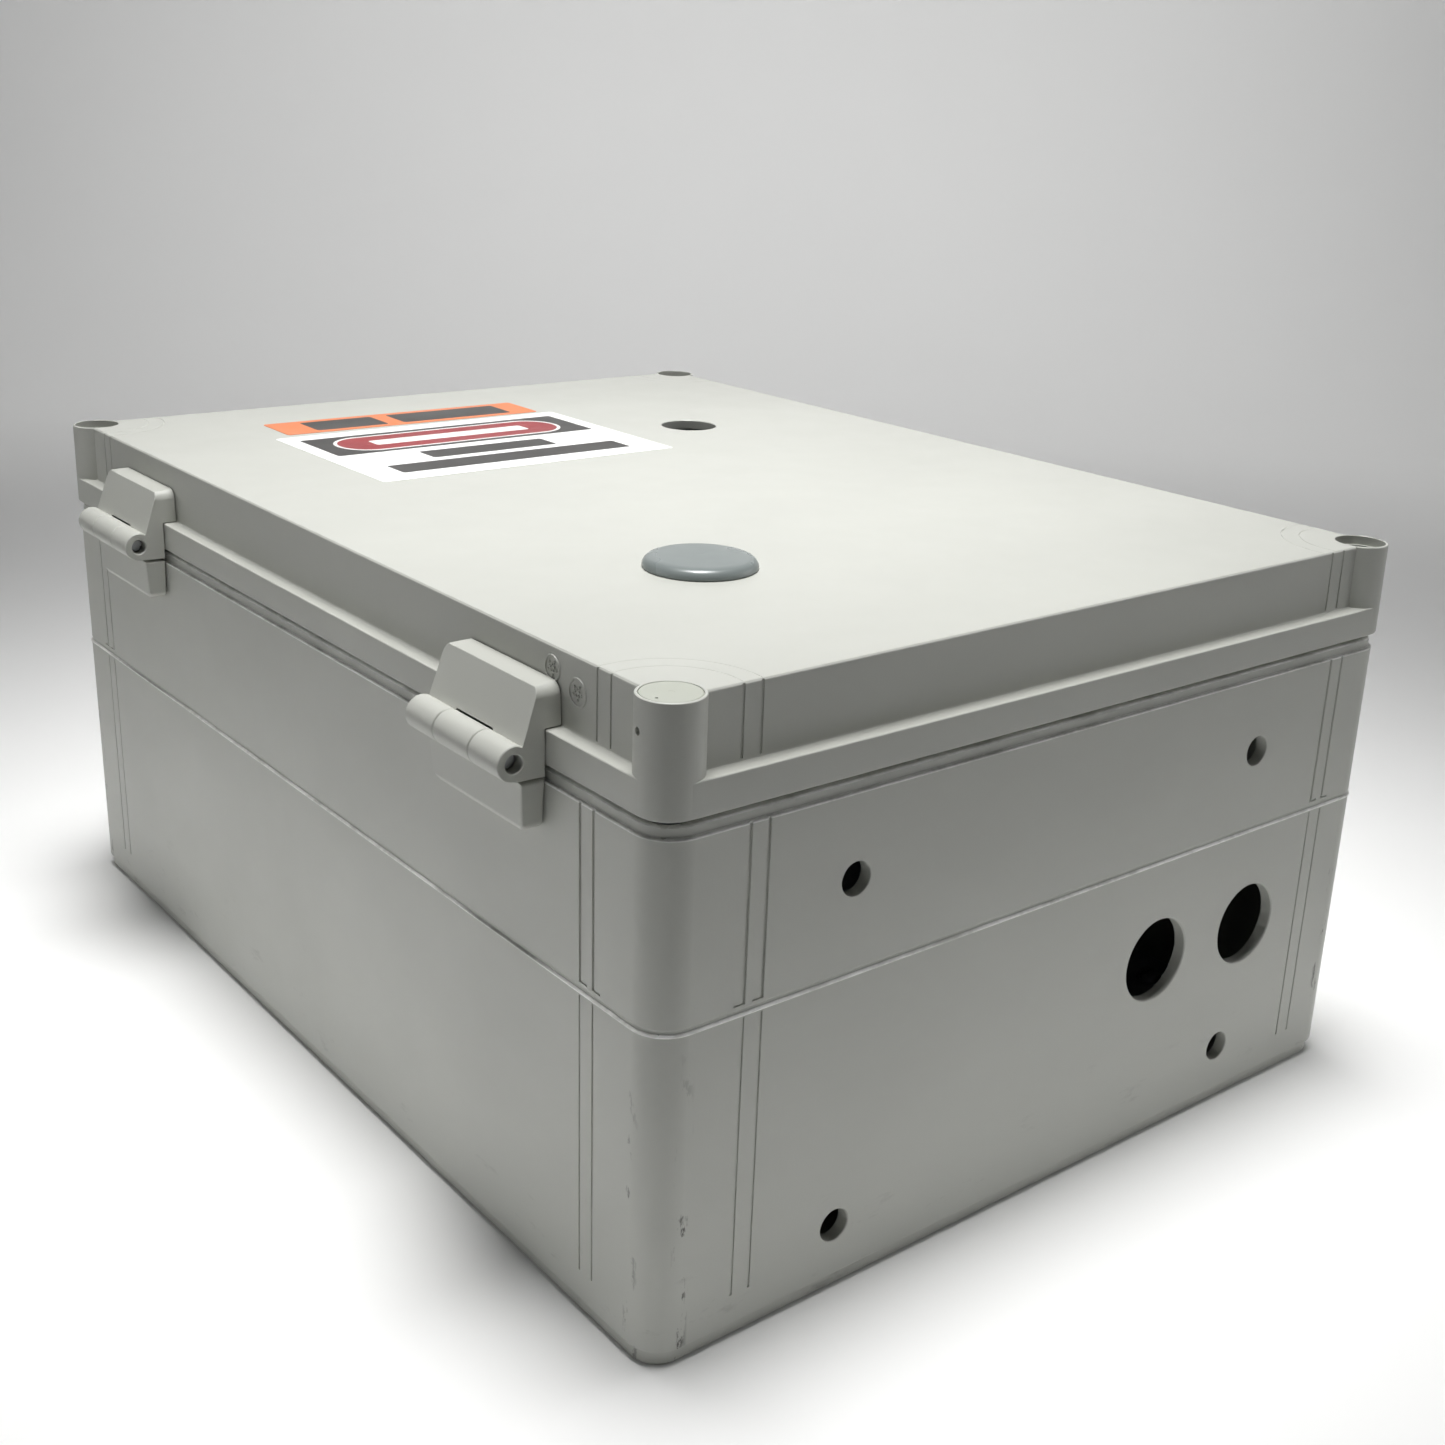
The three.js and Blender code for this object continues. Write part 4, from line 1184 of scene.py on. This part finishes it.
def make_bar(node):
    low, high = box_mm(node)
    mid = (low + high) / 2
    length = high.x - low.x
    bar = block(f"{node}_strip", low, high, 0.6)
    wire = [(WIRE_HOLE_R, low.y - 1), (WIRE_HOLE_R, high.y + 1)]
    screw = [(BAR_SCREW_HOLE_R, low.z + 2), (BAR_SCREW_HOLE_R, high.z + 1)]
    for share in BAR_HOLES:
        x = mid.x + share * length
        carved(bar, [turned("wire_hole", wire, (x, 0, low.z + 4), "Y", 24)])
        carved(bar, [turned("screw_hole", screw, (x, mid.y, 0), steps=24)])
    stand_in(bar, node, "brass")


def make_support(node):
    low, high = box_mm(node)
    x, y, _ = (low + high) / 2
    half_x, half_y = (high.x - low.x) / 2, (high.y - low.y) / 2
    rings = []
    for inset, z in SUPPORT_LEVELS:
        outline = rounded_outline(half_x - inset, half_y - inset, SUPPORT_CORNER_R, 5, (x, y))
        rings.append([(a, b, low.z + z) for a, b in outline])
    stand_in(rings_solid(f"{node}_insulator", rings), node, "support")


# ---- assembly ----
make_base()
make_cover()
make_gasket()
for number in (1, 2):
    make_cover_leaf(f"hinge_cover_leaf_{number}")
    make_base_leaf(f"hinge_base_leaf_{number}")
    make_pin(f"hinge_pin_{number}")
    make_screw(f"rail_screw_{number}", head_h=2.6)
    make_support(f"neutral_support_{number}")
for number in (1, 2, 3, 4):
    make_screw(f"cover_screw_{number}", 5, COVER_SHANK_R, COVER_PITCH)
    make_screw(f"plate_screw_{number}", head_h=2.8)
    make_screw(f"terminal_screw_{number}", head_h=3)
    make_screw(f"neutral_screw_{number}", head_h=2.4)
    make_screw(f"ground_screw_{number}", head_h=2.4)
make_plug()
make_post_cap()
make_label("voltage_label", "orange_label", tilt=-0.5)
make_label("warning_label", "white_label", tilt=0.35)
make_plate()
make_rail()
make_switch()
make_lever()
make_bar("neutral_bar")
make_bar("ground_bar")


# ---- studio, in metres ----
CAMERA_PLACE = Vector((-0.3816, -0.5138, 0.3261))
CAMERA_TURN = (72.06, -1.988, -38.314)
CAMERA_LENS = 44.84
CAMERA_SHIFT = (-0.01175, -0.04414)
# The paper sweep, turned to face the camera: its half width, its reach, its bend and its top.
VIEW_TURN = math.radians(-38.9)
SWEEP_WIDTH = 3.2
SWEEP_FRONT = 2.2
SWEEP_DEPTH = 1.05
SWEEP_BEND = 0.45
SWEEP_HEIGHT = 1.5
FILL_STRENGTH = 0.05
# The area lights: name, place, target, width and height, watts, and spread in degrees.
LIGHTS = (
    ("softbox", (-0.02, -0.02, 1.5), (-0.02, -0.02, 0.1), (0.55, 0.55), 2.85, 50),
    ("left_panel", (-1.3, 0.7, 0.5), (0, 0.1, 0.05), (0.9, 0.6), 2.3, 180),
    ("right_panel", (1.3, -0.7, 0.45), (0, -0.1, 0.05), (0.9, 0.6), 3.4, 180),
    ("backdrop_light", (0.5, 0.6, 1.4), (0.95, 1.2, 0.5), (1.6, 0.4), 6.0, 120),
)


def paper(name, colour):
    look, tree, shader, place = new_look(name)
    cloud = noise(tree, place, 3, 3.0)
    tint = blend(tree, ramp(tree, cloud, 0.3, 0.7), toned(colour, 0.985), colour)
    rough = ramp(tree, noise(tree, place, 20), 0.3, 0.7, 0.85, 0.95)
    set_surface(tree, shader, tint, rough, noise(tree, place, 400), 0.05, 0.1)
    return look


def make_sweep():
    """A pale floor that bends up into a backdrop well behind the object."""
    profile = [(-SWEEP_FRONT, 0), (SWEEP_DEPTH, 0)]
    profile += arc(SWEEP_DEPTH, SWEEP_BEND, SWEEP_BEND, -90, 0, 16)[1:]
    profile += [(SWEEP_DEPTH + SWEEP_BEND, SWEEP_HEIGHT)]
    mesh = bmesh.new()
    rows = [[mesh.verts.new((side * SWEEP_WIDTH, d, h)) for side in (-1, 1)] for d, h in profile]
    for low, high in zip(rows, rows[1:]):
        mesh.faces.new((low[0], low[1], high[1], high[0]))
    data = bpy.data.meshes.new("floor")
    mesh.to_mesh(data)
    mesh.free()
    floor = bpy.data.objects.new("floor", data)
    bpy.context.scene.collection.objects.link(floor)
    floor.rotation_euler = (0, 0, VIEW_TURN)
    floor.data.materials.append(paper("floor_paper", srgb(247, 247, 246)))
    floor.data.shade_smooth()


def add_area(name, place, target, size, power, spread):
    light = bpy.data.lights.new(name, "AREA")
    light.shape = "RECTANGLE"
    light.size, light.size_y = size
    light.energy = power
    light.spread = math.radians(spread)
    lamp = bpy.data.objects.new(name, light)
    bpy.context.scene.collection.objects.link(lamp)
    lamp.location = place
    lamp.rotation_euler = (Vector(target) - Vector(place)).to_track_quat("-Z", "Y").to_euler()


def make_camera():
    camera = bpy.data.objects.new("camera", bpy.data.cameras.new("camera"))
    bpy.context.scene.collection.objects.link(camera)
    camera.location = CAMERA_PLACE
    camera.rotation_euler = [math.radians(angle) for angle in CAMERA_TURN]
    camera.data.lens = CAMERA_LENS
    camera.data.sensor_width = 36
    camera.data.shift_x, camera.data.shift_y = CAMERA_SHIFT
    camera.data.clip_start = 0.01
    bpy.context.scene.camera = camera


def make_world(strength):
    world = bpy.data.worlds.new("studio")
    bpy.context.scene.world = world
    world.use_nodes = True
    background = world.node_tree.nodes["Background"]
    background.inputs["Color"].default_value = (0.96, 0.98, 1.0, 1.0)
    background.inputs["Strength"].default_value = strength


make_sweep()
make_camera()
make_world(FILL_STRENGTH)
for light_settings in LIGHTS:
    add_area(*light_settings)
bpy.context.scene.view_settings.view_transform = "Standard"
